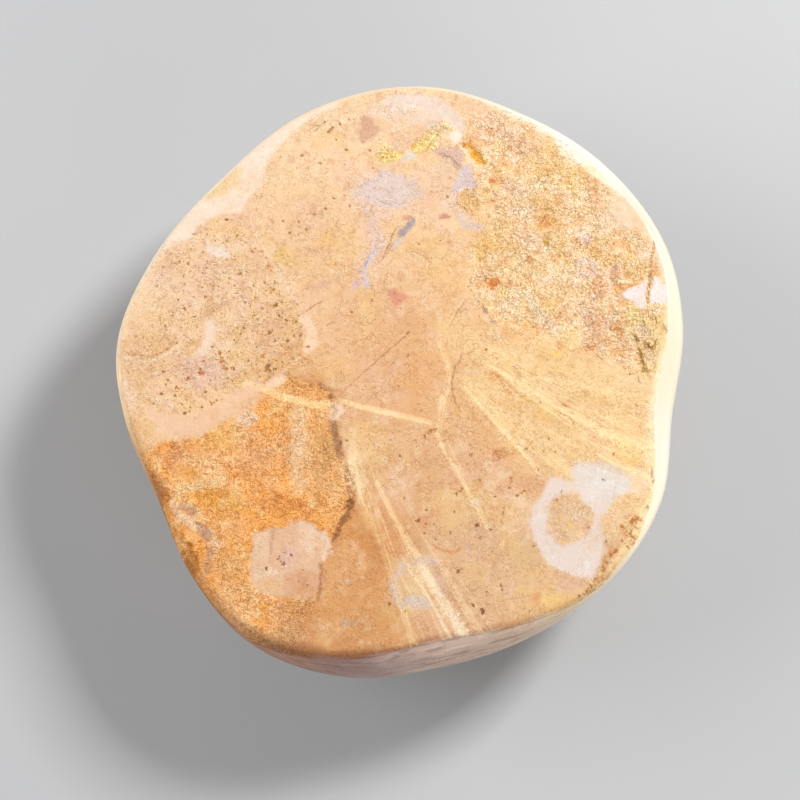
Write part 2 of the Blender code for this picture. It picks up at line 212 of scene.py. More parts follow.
# Stains, and along the ledge a few rows of painted shade: colour, strength, softness of the edge
# (below 0: crumbled as well), outline. The one of no strength keeps the others off its place.
STAINS_AND_SHADE = (
    ((233,212,203), 0.88,0.9, (-4.3,38.4, -3,38.6, -1.1,37.9, 0.4,37.3, 2.1,36.7, 3.4,35.3, 4.3,33.9,
    3.9,32.8, 3,32.6, 1.7,33.2, 0.7,32.4, 0.2,31.4, -1.1,31, -2.4,31.4, -3.2,30.6, -4.1,31.2, -5.8,32,
    -6.6,31.6, -6.8,33, -7.7,33.5, -8.3,32.8, -8.8,33.5, -8.5,34.7, -7.7,35.9, -6.6,36.5, -5.3,36.9,
    -4.5,37.7)),
    ((226,208,192), 0.7,0.8, (1.3,35.9, 2.4,36.3, 3.6,35.1, 4.5,33.7, 3.9,32.6, 2.4,32.8, 0.9,34.9)),
    ((246,208,184), 0.7,0.6, (-6.2,31.8, -3.9,31.4, -1.7,31, 0.2,31.6, -0.6,30, -2.4,29.2, -4.7,29.8,
    -5.8,30.4)),
    ((236,206,190), 0.75,0.7, (-6.9,31.8, -6.2,31.6, -5.3,30, -4.5,28.2, -3.9,26.2, -3.6,24, -3.7,22.6,
    -4.5,22.6, -5,24.2, -5.6,26.6, -6.4,28.8, -6.9,30.4)),
    ((223,208,209), 0.92,0.3, (-4.5,24, -3.7,23.4, -4.3,22, -5.4,20.8, -6.1,19.6, -6.5,18.4, -6.3,17,
    -5.9,15.2, -6.7,15.2, -7.1,16.8, -7.3,18.4, -6.9,20, -6,21.2, -5,22.6)),
    ((222,192,200), 0.8,0.3, (-8.9,15.8, -8.2,16.2, -7.6,15.8, -8.3,14.8, -8.9,15.2)),
    ((164,152,164), 0.85,0.3, (2.4,28.8, 2.6,28.4, 1.9,27.2, 0.9,26, 0.2,25, -0.6,25, -0.2,26.2, 1.5,28.2)),
    ((220,206,208), 0.8,0.4, (-0.4,25, 0.2,24.6, -1.3,22.8, -1.9,22.8, -1.3,24)),
    ((226,206,205), 0.9,0.4, (12.4,40, 13,39.2, 13.4,37.5, 14.1,35.9, 13.3,35.3, 12.2,35.5, 11.1,35.1,
    9.6,33.2, 9.6,34.5, 10.1,35.7, 10.5,37.1, 11.3,38.6)),
    ((241,212,188), 0.75,0.6, (9.4,34.1, 10.1,33.5, 10.1,32, 10.9,30.8, 12.2,30, 13.3,29, 12.1,29,
    10.7,29.8, 9.2,30.6, 8,31.6, 8.1,32.8)),
    ((229,204,194), 0.85,0.4, (10.5,29.6, 11.4,29, 12.1,28, 13.6,28, 14.7,27.6, 15.9,26.8, 15.1,26.4,
    13.6,26.6, 12.1,26.6, 11,27, 10.8,28.2)),
    ((247,223,206), 0.8,1.4, (-5.9,51.6, -3.1,51.8, 0.2,51.4, 3.2,50.8, 5.5,49.9, 7,48.9, 6.6,48.7,
    4.4,48.3, 1.7,49.1, -1,50.3, -4,50.8)),
    ((234,206,190), 0.6,1, (1.7,50.3, 3.6,50.6, 5.5,49.7, 7.4,48.5, 8.9,47.4, 7.4,47, 5.5,47.6, 3.6,48.7)),
    ((224,176,146), 0.9,0.6, (-7.6,48.7, -6.7,49.7, -5.7,49.3, -5.1,48.3, -4.4,47.4, -4.6,46.2, -6.6,44.5,
    -7.4,44.3, -7.8,45.4, -8.2,46.4, -7.6,47.4)),
    ((172,140,142), 0.85,-0.4, (6.6,42.5, 7.9,42.9, 9.2,42.1, 9.8,41.2, 10.7,40.4, 11.5,39.2, 10.9,38.4,
    10,39.6, 8.9,40.8, 7.4,41.2)),
    ((228,188,172), 0.8,0.7, (6.2,42.5, 7.4,43.3, 9.3,43.5, 11.1,43.1, 12.3,42.5, 11.9,41.2, 11.1,39.8,
    10.2,40.2, 9.2,41.2, 7.7,41.6)),
    ((228,154,128), 0.85,0.5, (-1.9,14.2, -0.9,14.6, -0.2,13.8, 0.9,13.2, 0.4,12.4, -0.6,11.8, -1.7,12.2)),
    ((206,142,126), 0.8,0.2, (7.5,29.4, 8.2,29.8, 9,29.2, 8.4,28.8, 7.7,29)),
    ((218,156,134), 0.7,0.2, (0.4,29, 1.3,29.4, 2,29.2, 1.5,28.6, 0.5,28.6)),
    ((241,201,181), 0.7,1.4, (-40.1,0.1, -37.7,1.3, -35,0.9, -32.8,-0.3, -32,-2.2, -33.8,-3.7, -36.7,-4.1,
    -39.3,-3)),
    ((240,190,138), 0.6,1.6, (-51.2,4.4, -48,5.6, -44.3,5.2, -42,4, -44.2,2.5, -47.8,2.1, -50.8,2.5)),
    ((252,214,170), 0.7,1, (-19.1,-8.3, -17.8,-8.3, -17.3,-10.6, -17.2,-14.4, -17.3,-18.2, -17.6,-21.9,
    -18.2,-24.2, -19.1,-23.8, -19.6,-20.8, -19.7,-16.3, -19.6,-12.1)),
    ((254,216,156), 0.75,0.8, (-41,-24.2, -39.7,-23.1, -38,-22.5, -36.2,-22.1, -34,-21.6, -31.9,-20.4,
    -31.5,-21.6, -33.3,-22.7, -35.2,-23.2, -37.6,-23.8, -39.3,-24.4, -40,-25.7, -41.1,-25.7)),
    ((204,170,150), 0.6,0.5, (-39.8,-26.4, -38.6,-26.2, -37.3,-27.1, -36.5,-28.4, -37.6,-28.6,
    -38.9,-27.7)),
    ((253,216,178), 0.8,0.5, (-41.5,-25.7, -40.4,-26.2, -39.4,-27.9, -37.8,-29.2, -36.3,-30.3, -37,-30.8,
    -38.8,-29.9, -40.3,-28.4, -41.2,-27.1)),
    ((188,150,132), 0.65,0.4, (-36.5,-29.7, -35.4,-30.1, -34.1,-31.4, -33.9,-32.7, -34.6,-33.2, -35.7,-32.1,
    -36.5,-31)),
    ((252,208,164), 0.7,0.6, (-34.4,-32.9, -33.2,-32.5, -32.1,-33.4, -32.6,-34.5, -34,-34.3)),
    ((196,154,126), 0.55,0.5, (-34.4,-34, -33.7,-34.5, -33.6,-36.7, -34.1,-38.5, -35,-40, -35.5,-39.8,
    -35,-37.8, -34.7,-35.8)),
    ((206,140,70), 0.75,-0.6, (-38.7,-32.7, -37.4,-34, -36.5,-36, -35.9,-37.8, -36.4,-39.3, -37.1,-38.5,
    -37.9,-36.7, -38.5,-34.9)),
    ((251,158,58), 0.85,-0.6, (-31.8,-18.6, -30.9,-18.9, -29.7,-20.1, -29,-21.6, -29.3,-22.7, -30.4,-22.3,
    -31.3,-20.8)),
    ((250,166,78), 0.6,0.8, (-27.5,-23.8, -26.1,-23.1, -24.6,-24.2, -25,-25.7, -26.7,-25.7)),
    ((247,172,74), 0.6,0.9, (-39.3,-20.1, -38.1,-19.3, -36.9,-20.4, -37.3,-21.9, -38.7,-21.9)),
    ((244,168,70), 0.55,1, (-36.8,-24.2, -35.1,-23.4, -33.2,-24.5, -33.5,-26.4, -35.3,-27.5, -36.4,-26)),
    ((204,136,78), 0.85,-0.6, (38.7,-30.8, 39.9,-29.4, 41.3,-28.3, 42.8,-28.4, 42.7,-30.1, 41.9,-31.9,
    42.6,-33.4, 41.1,-34, 39.8,-32.7)),
    ((214,148,84), 0.8,-0.8, (35.7,-36.7, 37.2,-34.5, 39,-33.8, 38.2,-36, 36.7,-38.2, 36.3,-40.4,
    34.8,-42.5, 33,-43.6, 33.4,-41.8, 34.9,-39.3)),
    ((222,162,126), 0.75,-0.6, (35,16.2, 36.3,16.6, 37.6,16.2, 38.1,14.6, 37.1,13.2, 35.6,12.8, 34.8,14.2)),
    ((176,132,122), 0.85,-0.4, (13.3,13.8, 14.4,13, 15.3,11.4, 16.6,10.1, 17.8,8.5, 18.4,7.3, 17.5,7.5,
    16,9.1, 14.6,11, 13.5,12.6)),
    ((224,160,114), 0.75,-0.5, (33.2,4.4, 34.3,5, 35.4,4.4, 35.6,3, 34.4,2.6, 33.4,3.2)),
    ((220,142,92), 0.75,-0.4, (28.6,4.4, 29.4,4.8, 29.7,3.6, 29.3,2.6, 28.6,3.2)),
    ((253,225,186), 0.8,0.5, (23.1,14.2, 24.2,13.4, 25.6,11.4, 27.1,9.1, 28.9,6.7, 29.6,5.6, 28.1,6,
    26.3,7.9, 24.5,10.3, 23.3,12.6)),
    ((158,100,42), 0.85,-0.4, (42.5,6.3, 43.2,6, 43.9,5, 44.4,4.6, 44,4, 43.1,4.6, 42.4,5.6)),
    ((160,100,38), 0.85,-0.45, (43.3,3.8, 44,3.6, 44.5,2.3, 44.8,0.5, 44.9,-1.2, 44.2,-0.6, 43.9,0.9,
    43.4,2.3)),
    ((162,106,44), 0.85,-0.4, (45,4.8, 45.7,4.6, 46.2,3.6, 47,4.8, 46.8,3.4, 45.8,2.8, 45.1,3.8)),
    ((166,118,84), 0.8,-0.35, (47.9,8.3, 48.4,7.5, 49.1,6.7, 48.9,6.1, 48,6.7)),
    ((226,150,74), 0.8,-0.5, (39.2,7.9, 40.1,7.5, 41.2,6, 40.8,5.4, 39.7,6.3)),
    ((252,222,194), 0.75,0.4, (43.4,7.3, 44.5,7.5, 45.6,6.5, 45,5.2, 44.1,5.6)),
    ((255,226,172), 0.7,0.5, (46.7,6, 48.3,6, 49,4, 47.8,2.5, 46.8,3.2)),
    ((253,220,176), 0.7,0.5, (44.7,2.6, 46,2.8, 47.1,1.7, 46.3,0.1, 45.2,0.5)),
    ((232,136,62), 0.88,0.3, (16.3,16.4, 17.2,17.2, 18.3,16.8, 18.1,15.8, 17.2,15.2, 16.5,15.6)),
    ((230,134,78), 0.85,0.25, (16.6,37.3, 17.5,37.3, 17.7,36.5, 16.7,36.3)),
    ((228,154,96), 0.8,0.3, (23.2,20.8, 24,21.2, 24.9,20.8, 24.5,20, 23.6,20)),
    ((243,166,96), 0.65,0.5, (25.6,28.6, 26.7,29.4, 27.7,28.4, 27.1,27, 26,27.4)),
    ((210,168,78), 0.75,0.25, (27,25.4, 27.8,25, 27.7,23.2, 27.2,23, 26.8,24)),
    ((253,216,162), 0.85,0.4, (21,20.2, 24,20.4, 26.6,20, 26.9,18.2, 25.8,17.4, 22.8,17.4, 20.9,18.2)),
    ((251,214,202), 0.7,0.8, (33.2,25.2, 34.1,25.8, 35.4,25.2, 35.2,24, 33.9,23.8)),
    ((249,219,202), 0.65,0.6, (32.1,20.2, 34,21.4, 36.2,20.2, 36.5,18.2, 34.3,17, 32.5,18.2)),
    ((253,204,128), 0.55,0.9, (36.3,24.6, 37.4,23.4, 38.9,21.8, 40.1,21, 39.5,19.4, 37.7,19.4, 36.6,21,
    35.5,23)),
    ((222,170,134), 0.7,0.4, (39.2,19.4, 40.1,19.8, 40.4,17.8, 39.8,16.2, 38.9,16.6)),
    ((244,226,206), 0.7,-0.7, (12,-25.5, 13.1,-24.7, 14.2,-25.3, 14.1,-26.6, 13.1,-27, 12.2,-26.4)),
    ((226,160,126), 0.8,-0.5, (15.9,-26.8, 16.8,-26.2, 17.5,-27, 17.3,-28.3, 16.4,-28.4)),
    ((214,190,180), 0.75,-0.4, (11.4,-34.1, 12.1,-34, 12.6,-34.9, 12.4,-36.2, 11.7,-35.6)),
    ((236,208,192), 0.85,-0.4, (-10.5,-40.4, -9.4,-40.2, -8.5,-40.5, -9.1,-41.3, -10.1,-41.1)),
    ((206,180,156), 0.75,-0.6, (-11,-47.4, -9.7,-47, -8.5,-47.6, -7.6,-48.5, -9,-49, -10.2,-48.5)),
    ((228,210,198), 0.58,0.6, (0.3,-37.3, -0.6,-38.5, -1.4,-40, -1.8,-41.8, -1.4,-43.4, -0.6,-44.7,
    0.3,-45.6, 1,-44.7, 0,-43.6, -0.7,-42.2, -0.7,-40.7, 0.2,-39.3, 1.2,-38, 2.1,-37.3)),
    ((222,210,206), 0.75,0.6, (0,-43.6, 1.6,-43.3, 3.3,-43.4, 4.6,-44, 4.7,-45.1, 3.3,-45.6, 1.6,-45.2,
    0.5,-44.7)),
    ((228,202,186), 0.66,0.6, (1.6,-37.1, 3.4,-36.3, 5.5,-36.5, 6.6,-37.8, 5.1,-38, 3,-37.6)),
    ((226,188,164), 0.6,0.7, (6.2,-37.8, 7.3,-39.6, 8.1,-41.8, 8.3,-43.6, 7.2,-42.9, 6.2,-40.7, 5.7,-38.9)),
    ((257,234,202), 0.8,0.5, (3.7,-37.1, 5.1,-39.3, 6.7,-41.8, 8.3,-44.3, 9.9,-47, 11.6,-49.5, 13.3,-51.3,
    12.8,-52.2, 11.4,-51.9, 10,-49.9, 8.3,-47.4, 6.7,-44.7, 5.3,-42.2, 4.1,-39.8, 2.8,-37.6)),
    ((206,140,88), 0.75,-0.8, (15.7,-16.7, 17.1,-15.9, 19.3,-15.7, 20.8,-16.3, 19.7,-17.8, 17.8,-19.1,
    16.4,-18.6)),
    ((204,138,86), 0.85,-0.4, (24.2,-16.3, 25.3,-15.9, 26.4,-16.5, 25.6,-17.2, 24.5,-17.1)),
    ((228,162,102), 0.75,-0.8, (15.9,-1.4, 17.4,-1, 19.5,-3, 21.3,-5.3, 20.6,-6.4, 18.4,-5.3, 16.6,-3.3)),
    ((253,210,124), 0.7,-0.5, (21.5,-6.2, 22.8,-5.7, 23.6,-6.6, 22.9,-7.6, 21.6,-7.4)),
    ((255,230,186), 0.9,0.3, (11.2,44.3, 11.9,43.5, 12.8,41.8, 14.1,40.6, 15.6,39.8, 14.9,39.4, 13,40.4,
    11.7,42.1)),
    ((252,220,190), 0.7,1, (-51.3,-2.6, -49.8,-3.7, -48.3,-6, -47.8,-8.3, -49.3,-9.1, -50.4,-7.6,
    -51.4,-4.9)),
    ((251,216,186), 0.8,0.4, (-29.6,-9.5, -28.2,-8.9, -26.5,-9.5, -26.3,-10.6, -27.8,-11.6, -29.2,-10.8)),
    ((176,112,60), 0.7,1, (-44.7,-20.8, -43.4,-21.6, -42.2,-23.4, -41.5,-25.3, -42.7,-25.7, -44,-23.8)),
    ((188,132,88), 0.85,-0.6, (-20.7,-2.6, -18.5,-3, -16.3,-3.3, -14.4,-3, -13,-4.1, -11.7,-6, -12.2,-7,
    -13.7,-6, -15.5,-4.5, -18.1,-4.1, -19.9,-3.7)),
    # The next three rows, dark along the ledge's wall, are painted shade.
    ((172,126,100), 0.72,0.35, (-12.7,-10.2, -12.2,-10.6, -11.6,-12.9, -11,-15.5, -10.8,-17.4, -11.4,-17.6,
    -11.9,-15.7, -12.5,-13.3)),
    ((166,108,64), 0.9,0.35, (-9.2,-24.9, -8.5,-25.7, -8.8,-27.9, -9.7,-29.4, -10.6,-30.8, -11.3,-32.3,
    -12,-33.4, -12.5,-33, -11.6,-31.2, -10.6,-29, -9.9,-26.8)),
    ((184,130,100), 0.8,-0.35, (-10.1,-20.8, -9.4,-21.9, -8.5,-24.2, -8.6,-25.7, -9.4,-24.9, -10.1,-22.7)),
    ((247,212,154), 0.7,0.6, (-37,33, -33.7,36.7, -31.1,39.2, -29.8,38.8, -30.7,36.3, -32.5,34.3,
    -34.9,33.2)),
    ((232,190,172), 0.6,0.6, (-21.4,-35.1, -19.8,-34.5, -18.4,-35.4, -18.7,-37.4, -20.4,-38, -21.7,-36.7)),
    ((251,216,192), 0.75,0.3, (-24.9,-38.4, -23.6,-37.8, -22.2,-38.5, -22.6,-39.4, -24,-39.3)),
    ((246,210,178), 0.8,0.5, (-18.1,-30.1, -15.9,-30.5, -14.8,-32.1, -15.2,-35.2, -16.6,-36, -17.7,-34,
    -18.4,-31.6)),
    ((240,204,170), 0.7,0.5, (-26.2,-32.7, -24.1,-31.6, -23.4,-33, -23.7,-37.6, -24.7,-40.7, -26.1,-40,
    -26.5,-36.7)),
    ((228,170,128), 0.75,0.7, (-20.1,-40, -17.9,-38.9, -14.7,-39.3, -14.4,-42.2, -16.8,-43.4, -19.7,-42.9,
    -20.7,-41.4)),
    ((240,192,140), 0.6,0.6, (-25.7,-40, -23.6,-40, -21.1,-40.7, -22.1,-42.5, -24.6,-42.5)),
    ((212,160,122), 0.6,0.3, (-23.2,-31.2, -22.5,-31.4, -23,-34, -23.3,-36.7, -23.7,-36.3, -23.5,-33.6)),
    # Painted shade: the next row, dark along the ledge's lower end by the shell island's right edge.
    ((192,136,100), 0.8,-0.35, (-14.8,-37.1, -13.7,-37.4, -13.7,-40.4, -14.2,-44, -15.2,-44.5, -14.9,-41.8,
    -14.6,-39.4)),
    ((247,214,188), 0.8,0.4, (-14.5,-31.9, -13.4,-31.9, -12.5,-34, -12.7,-35.8, -13.9,-36.7, -14.4,-34.5)),
    ((247,216,190), 0,0.6, (-16.6,-31.9, -14.8,-32.3, -13,-33.4, -13,-35.2, -14.8,-36.3, -15.9,-34.5)),
)
CRUST = (
    -4.5,41.6, -4.2,43.1, -3,43.7, -1.9,43.1, -1,42.3, 0.2,41.6, 1.3,42.3, 2.1,43.5, 2.6,44.7, 3.8,45.8,
    4.7,46.6, 5.7,47.4, 7,48.5, 8.5,48.9, 10.2,48.7, 10.4,47.4, 8.9,46.8, 7.9,46.2, 7,45.6, 6.8,44.5,
    6.6,43.1, 5.5,42.3, 4.3,42.5, 3.2,42.1, 1.9,41.8, 0.7,41.2, -0.6,41.2, -1.5,40.6, -3.2,40.4,
)
YELLOW_POCKET = (
    10.5,33.9, 11.4,34.7, 13,35.1, 13.9,34.7, 13.7,33.5, 14.4,31.8, 14.8,30.2, 14,29.4, 12.5,30, 11.2,31,
    10.3,32.2,
)

# Soft ovals of colour in the ground: colour, strength, centre, reach along and across, turn
CLOUDS = (
    ((243,200,146), 0.5, 34.3,-11.6, 12.3,7.8, -20), ((244,198,144), 0.5, 43.6,-14.4, 4.5,4.3, 0),
    ((234,160,90), 0.5, -30.4,-38.5, 4.9,4.7, 0), ((236,172,118), 0.5, 17.9,-17.4, 3.4,2, -20),
    ((252,214,156), 0.5, 18.9,-6.8, 4.9,2.4, -42), ((228,172,122), 0.45, -6.5,13.8, 0.9,2, 0),
    ((236,176,142), 0.45, -0.9,10.9, 1.9,1.4, 0), ((248,202,150), 0.35, -10,-37.8, 4.1,3.1, 0),
    ((250,226,214), 0.5, -5.5,36.3, 1.9,1.2, 20), ((246,200,172), 0.6, -7.9,33, 0.9,1, 0),
    ((244,206,190), 0.5, -1.7,31, 2.6,1, 8), ((252,222,188), 0.7, 42.6,-22.7, 2.6,2, -20),
    ((252,216,170), 0.6, 42.8,5.6, 3,2.7, 0), ((236,200,164), 0.75, 30.6,-29.4, 4.5,4.9, 0),
    ((240,204,156), 0.75, 1.6,-41.3, 3.7,4.7, 0), ((250,208,150), 0.5, -45.1,-23.8, 1.5,3.1, -30),
    ((246,208,186), 0.7, -2.5,34.7, 7.1,4.3, 0), ((246,206,186), 0.6, -5,25.4, 2.2,6.7, 0),
    ((244,206,178), 0.6, 7.3,31.6, 3,5.5, 0), ((244,204,182), 0.5, -6.5,19, 1.7,3.9, 0),
    ((240,204,176), 0.6, 9.2,38.4, 4.1,3.1, 0), ((250,212,158), 0.5, -20.9,34.7, 4.7,2.7, 0),
    ((243,199,126), 0.75, -22,21.4, 2.8,1.4, 10), ((244,191,126), 0.7, -14.2,24.6, 2.4,1.4, 10),
    ((244,198,134), 0.5, -18.8,19.8, 3.7,1.6, 0), ((250,208,150), 0.4, -25.4,25, 2.2,2, 0),
    ((243,198,150), 0.5, -15.2,35.5, 1.1,1, 0), ((248,204,174), 0.55, -9.6,38.4, 2.8,2.2, 0),
    ((247,210,180), 0.5, -3,49.9, 4.5,1.8, 0), ((240,200,168), 0.6, 1.3,43.7, 2.6,2.2, 0),
    ((244,196,158), 0.6, 4.7,33.5, 2.4,2, 0), ((250,208,174), 0.5, 5.4,37.5, 2.4,1.6, 0),
    ((240,194,164), 0.7, -3,39.4, 2.2,0.8, 0), ((232,182,154), 0.6, -14.8,15.2, 1.3,1.2, 0),
    ((250,198,162), 0.5, -0.2,21.4, 2.2,0.8, 0), ((252,204,168), 0.5, 3,19.2, 1.5,0.8, 0),
    ((240,192,140), 0.45, 5.4,22.6, 4.1,1.2, 0), ((247,196,138), 0.5, 7.2,16.2, 4.5,2.7, 0),
    ((250,208,162), 0.5, -1.1,18.2, 2.2,1.6, 0), ((246,198,146), 0.5, -9.5,18.6, 2.2,2, 0),
    ((248,206,160), 0.4, -21.7,30.6, 2.2,1.2, 0), ((252,218,178), 0.5, -10.6,49.5, 4.9,1.6, 12),
    ((243,190,140), 0.5, -9.4,3.8, 6.3,4.3, 0), ((238,182,128), 0.7, 3.5,-2, 3,7.1, 0),
    ((235,176,120), 0.5, 3.8,-7.2, 2.2,2.4, 0), ((240,190,142), 0.5, -5.7,-6.8, 5.6,2, 0),
    ((250,211,156), 0.7, 9.4,6.7, 3.4,4.3, 0), ((253,214,158), 0.6, 14.5,2.8, 4.9,2.4, -20),
    ((240,186,130), 0.7, 12.1,-9.7, 1.9,4.3, 30), ((238,184,130), 0.6, 14.6,-14.4, 3,3.1, 0),
    ((251,211,154), 0.6, 14.7,-5.7, 3.7,2, -40), ((236,184,120), 0.6, 20,-7.9, 2.6,1.4, -35),
    ((251,206,130), 0.55, 26.1,-9.9, 2.4,1.2, -20), ((231,176,132), 0.75, 23.2,-22.7, 5.2,2.2, 10),
    ((244,192,138), 0.5, 8.9,-12.9, 2.2,2.4, 0), ((254,215,160), 0.65, 37.2,-2.6, 7.8,3.5, -8),
    ((250,208,166), 0.5, 43.6,-3.9, 2.2,1.2, 0), ((229,181,118), 0.5, 34.4,-5.5, 2.6,1.2, -20),
    ((236,190,130), 0.5, 28.8,-11.4, 3.4,1, -32), ((251,208,148), 0.5, 39.7,-10.6, 4.1,2, -20),
    ((253,210,132), 0.6, 41.7,-17.4, 2.8,1.8, 0), ((248,206,150), 0.5, 36,-14.4, 2.8,1.2, -20),
    ((246,186,104), 0.6, 24.1,7.5, 2.1,1.6, 0), ((240,180,120), 0.6, 20.2,6.3, 1.5,1.6, 0),
    ((253,206,108), 0.75, 27.9,2.8, 1.5,0.6, 0), ((228,178,142), 0.5, 36.6,8.3, 2.4,3.9, 0),
    ((252,216,178), 0.6, 27,7.5, 2.4,1.4, -30), ((232,160,92), 0.6, 40.6,6.7, 1.1,1.8, 20),
    ((251,209,174), 0.65, 15.4,50.8, 3.4,2.5, 0), ((251,209,172), 0.6, 19.9,47.8, 3,1.8, 0),
    ((250,208,172), 0.55, 24.4,42.9, 3.7,2, -20), ((249,205,134), 0.6, 29.2,41.2, 4.5,3.5, -20),
    ((246,191,116), 0.6, 27.1,30, 3.2,3.3, 0), ((249,205,136), 0.55, 18.8,25.4, 4.1,3.5, 0),
    ((249,197,120), 0.65, 15.1,22.6, 2.4,2.4, 0), ((248,202,140), 0.5, 15.2,33.5, 1.7,3.5, 0),
    ((251,211,180), 0.65, 21.4,34.7, 2.6,1.8, 0), ((253,213,174), 0.65, 24,25.4, 3.7,2, 0),
    ((249,205,158), 0.6, 37.4,35.5, 2.2,1, 0), ((252,215,182), 0.7, 40.2,30, 2.6,2.9, 0),
    ((254,214,124), 0.6, 32.9,20.2, 2.1,1.6, 0), ((240,178,100), 0.6, 30,31.6, 0.7,2, 0),
    ((250,207,164), 0.6, 44.4,21.8, 1.7,1.4, 0), ((222,160,108), 0.6, 47.1,19, 0.9,3.1, 0),
    ((249,206,140), 0.5, 44.6,25.6, 2.2,1.6, 0), ((253,210,150), 0.5, 30.3,14.6, 4.5,2, 0),
    ((246,194,120), 0.5, 29.6,25.6, 2.2,3.1, 0), ((251,212,160), 0.5, 35.4,29.6, 2.2,1.6, 0),
    ((248,200,120), 0.5, 44.3,18.2, 2.2,1.2, 0), ((252,217,170), 0.7, -8.5,-20.1, 1.7,5.9, 8),
    # The two ovals on the next line, orange-brown between the ledge and the ridges, are painted shade.
    ((219,157,96), 0.7, -7,-31.2, 1.7,5.1, 22), ((213,150,92), 0.6, -4.5,-35.2, 1.3,3.1, 25),
    ((240,188,141), 0.5, 1.6,-14.4, 4.9,2.9, 0), ((226,168,122), 0.6, 5.2,-23.8, 2.2,1.6, 0),
    ((222,160,112), 0.6, 4.3,-28.6, 2.4,1.6, 0), ((239,197,142), 0.6, 9.1,-29.4, 3.4,4.7, 20),
    ((233,191,142), 0.5, 12.6,-40.4, 5.2,5.5, 0), ((236,190,144), 0.5, 17.8,-44.3, 3,3.1, 0),
    ((229,191,136), 0.6, 21.5,-36.7, 2.8,3.9, 0), ((242,198,130), 0.6, 22.8,-42.5, 2.6,2.2, 0),
    ((228,180,136), 0.6, 13.5,-49, 7.5,2.5, 8), ((249,205,122), 0.75, 28.1,-44.3, 2.6,1.6, 30),
    ((232,164,112), 0.7, 25.1,-43.8, 0.7,1.2, 0), ((213,149,98), 0.55, -11.1,-52.9, 5.6,1.8, -4),
    ((229,164,104), 0.6, -14,-46.1, 4.1,3.9, 0), ((240,190,160), 0.6, 19,-24.7, 1.5,1.2, 0),
    ((222,160,100), 0.5, -12.6,-36.7, 2.2,2.4, 0), ((228,166,108), 0.6, -9.9,-44, 5.2,2.7, 0),
    ((222,158,98), 0.55, -2.8,-47.6, 2.2,4.3, 20), ((235,183,140), 0.5, 6.9,-36.7, 1.9,2.4, 0),
    ((250,210,162), 0.6, -46.2,6.7, 4.9,3.5, 0), ((236,190,140), 0.5, -47.3,-2.2, 2.4,2.2, 0),
    ((252,213,186), 0.55, -44.3,16.4, 2.2,1.8, 0), ((252,213,186), 0.5, -40.2,15.8, 1.7,1.4, 0),
    ((247,203,140), 0.5, -30.9,-2.6, 3,1.2, 0), ((246,204,146), 0.45, -27.7,0.5, 3.7,1.6, 0),
    ((241,190,150), 0.5, -23.8,8.7, 3,4.3, 0), ((238,188,134), 0.5, -20.3,0.1, 3.7,1.6, 0),
    ((236,168,112), 0.7, -40.3,-16.7, 3,3.1, 0), ((244,186,104), 0.6, -33.1,-14.4, 3.4,2.4, 20),
    ((243,183,132), 0.6, -25.1,-16.7, 4.1,3.9, 0), ((231,158,96), 0.7, -20.5,-13.7, 0.9,6.7, 0),
    ((216,162,98), 0.55, -13.7,-16.3, 2.2,7.8, -6), ((238,156,84), 0.65, -20.8,-26.8, 3.4,2.4, 0),
    ((244,178,92), 0.6, -31.6,-26.6, 4.5,2.4, 0), ((245,201,146), 0.65, -47.6,-14.4, 2.2,5.1, -25),
    ((222,156,98), 0.65, -17.8,-46.1, 5.2,2.4, 0), ((244,190,126), 0.5, -30.5,-34.9, 2.6,5.1, 0),
    ((240,178,110), 0.5, -29.2,-44, 3.4,2.4, 0), ((255,214,150), 0.5, -18.8,-7.6, 3.4,1.4, -8),
    ((247,212,178), 0.5, 21.3,-26.6, 1.9,2.7, 0), ((246,210,172), 0.6, 39.5,-28.3, 2.6,1.8, 0),
    ((252,222,180), 0.6, 42.5,-36.7, 1.5,3.9, -30),
)

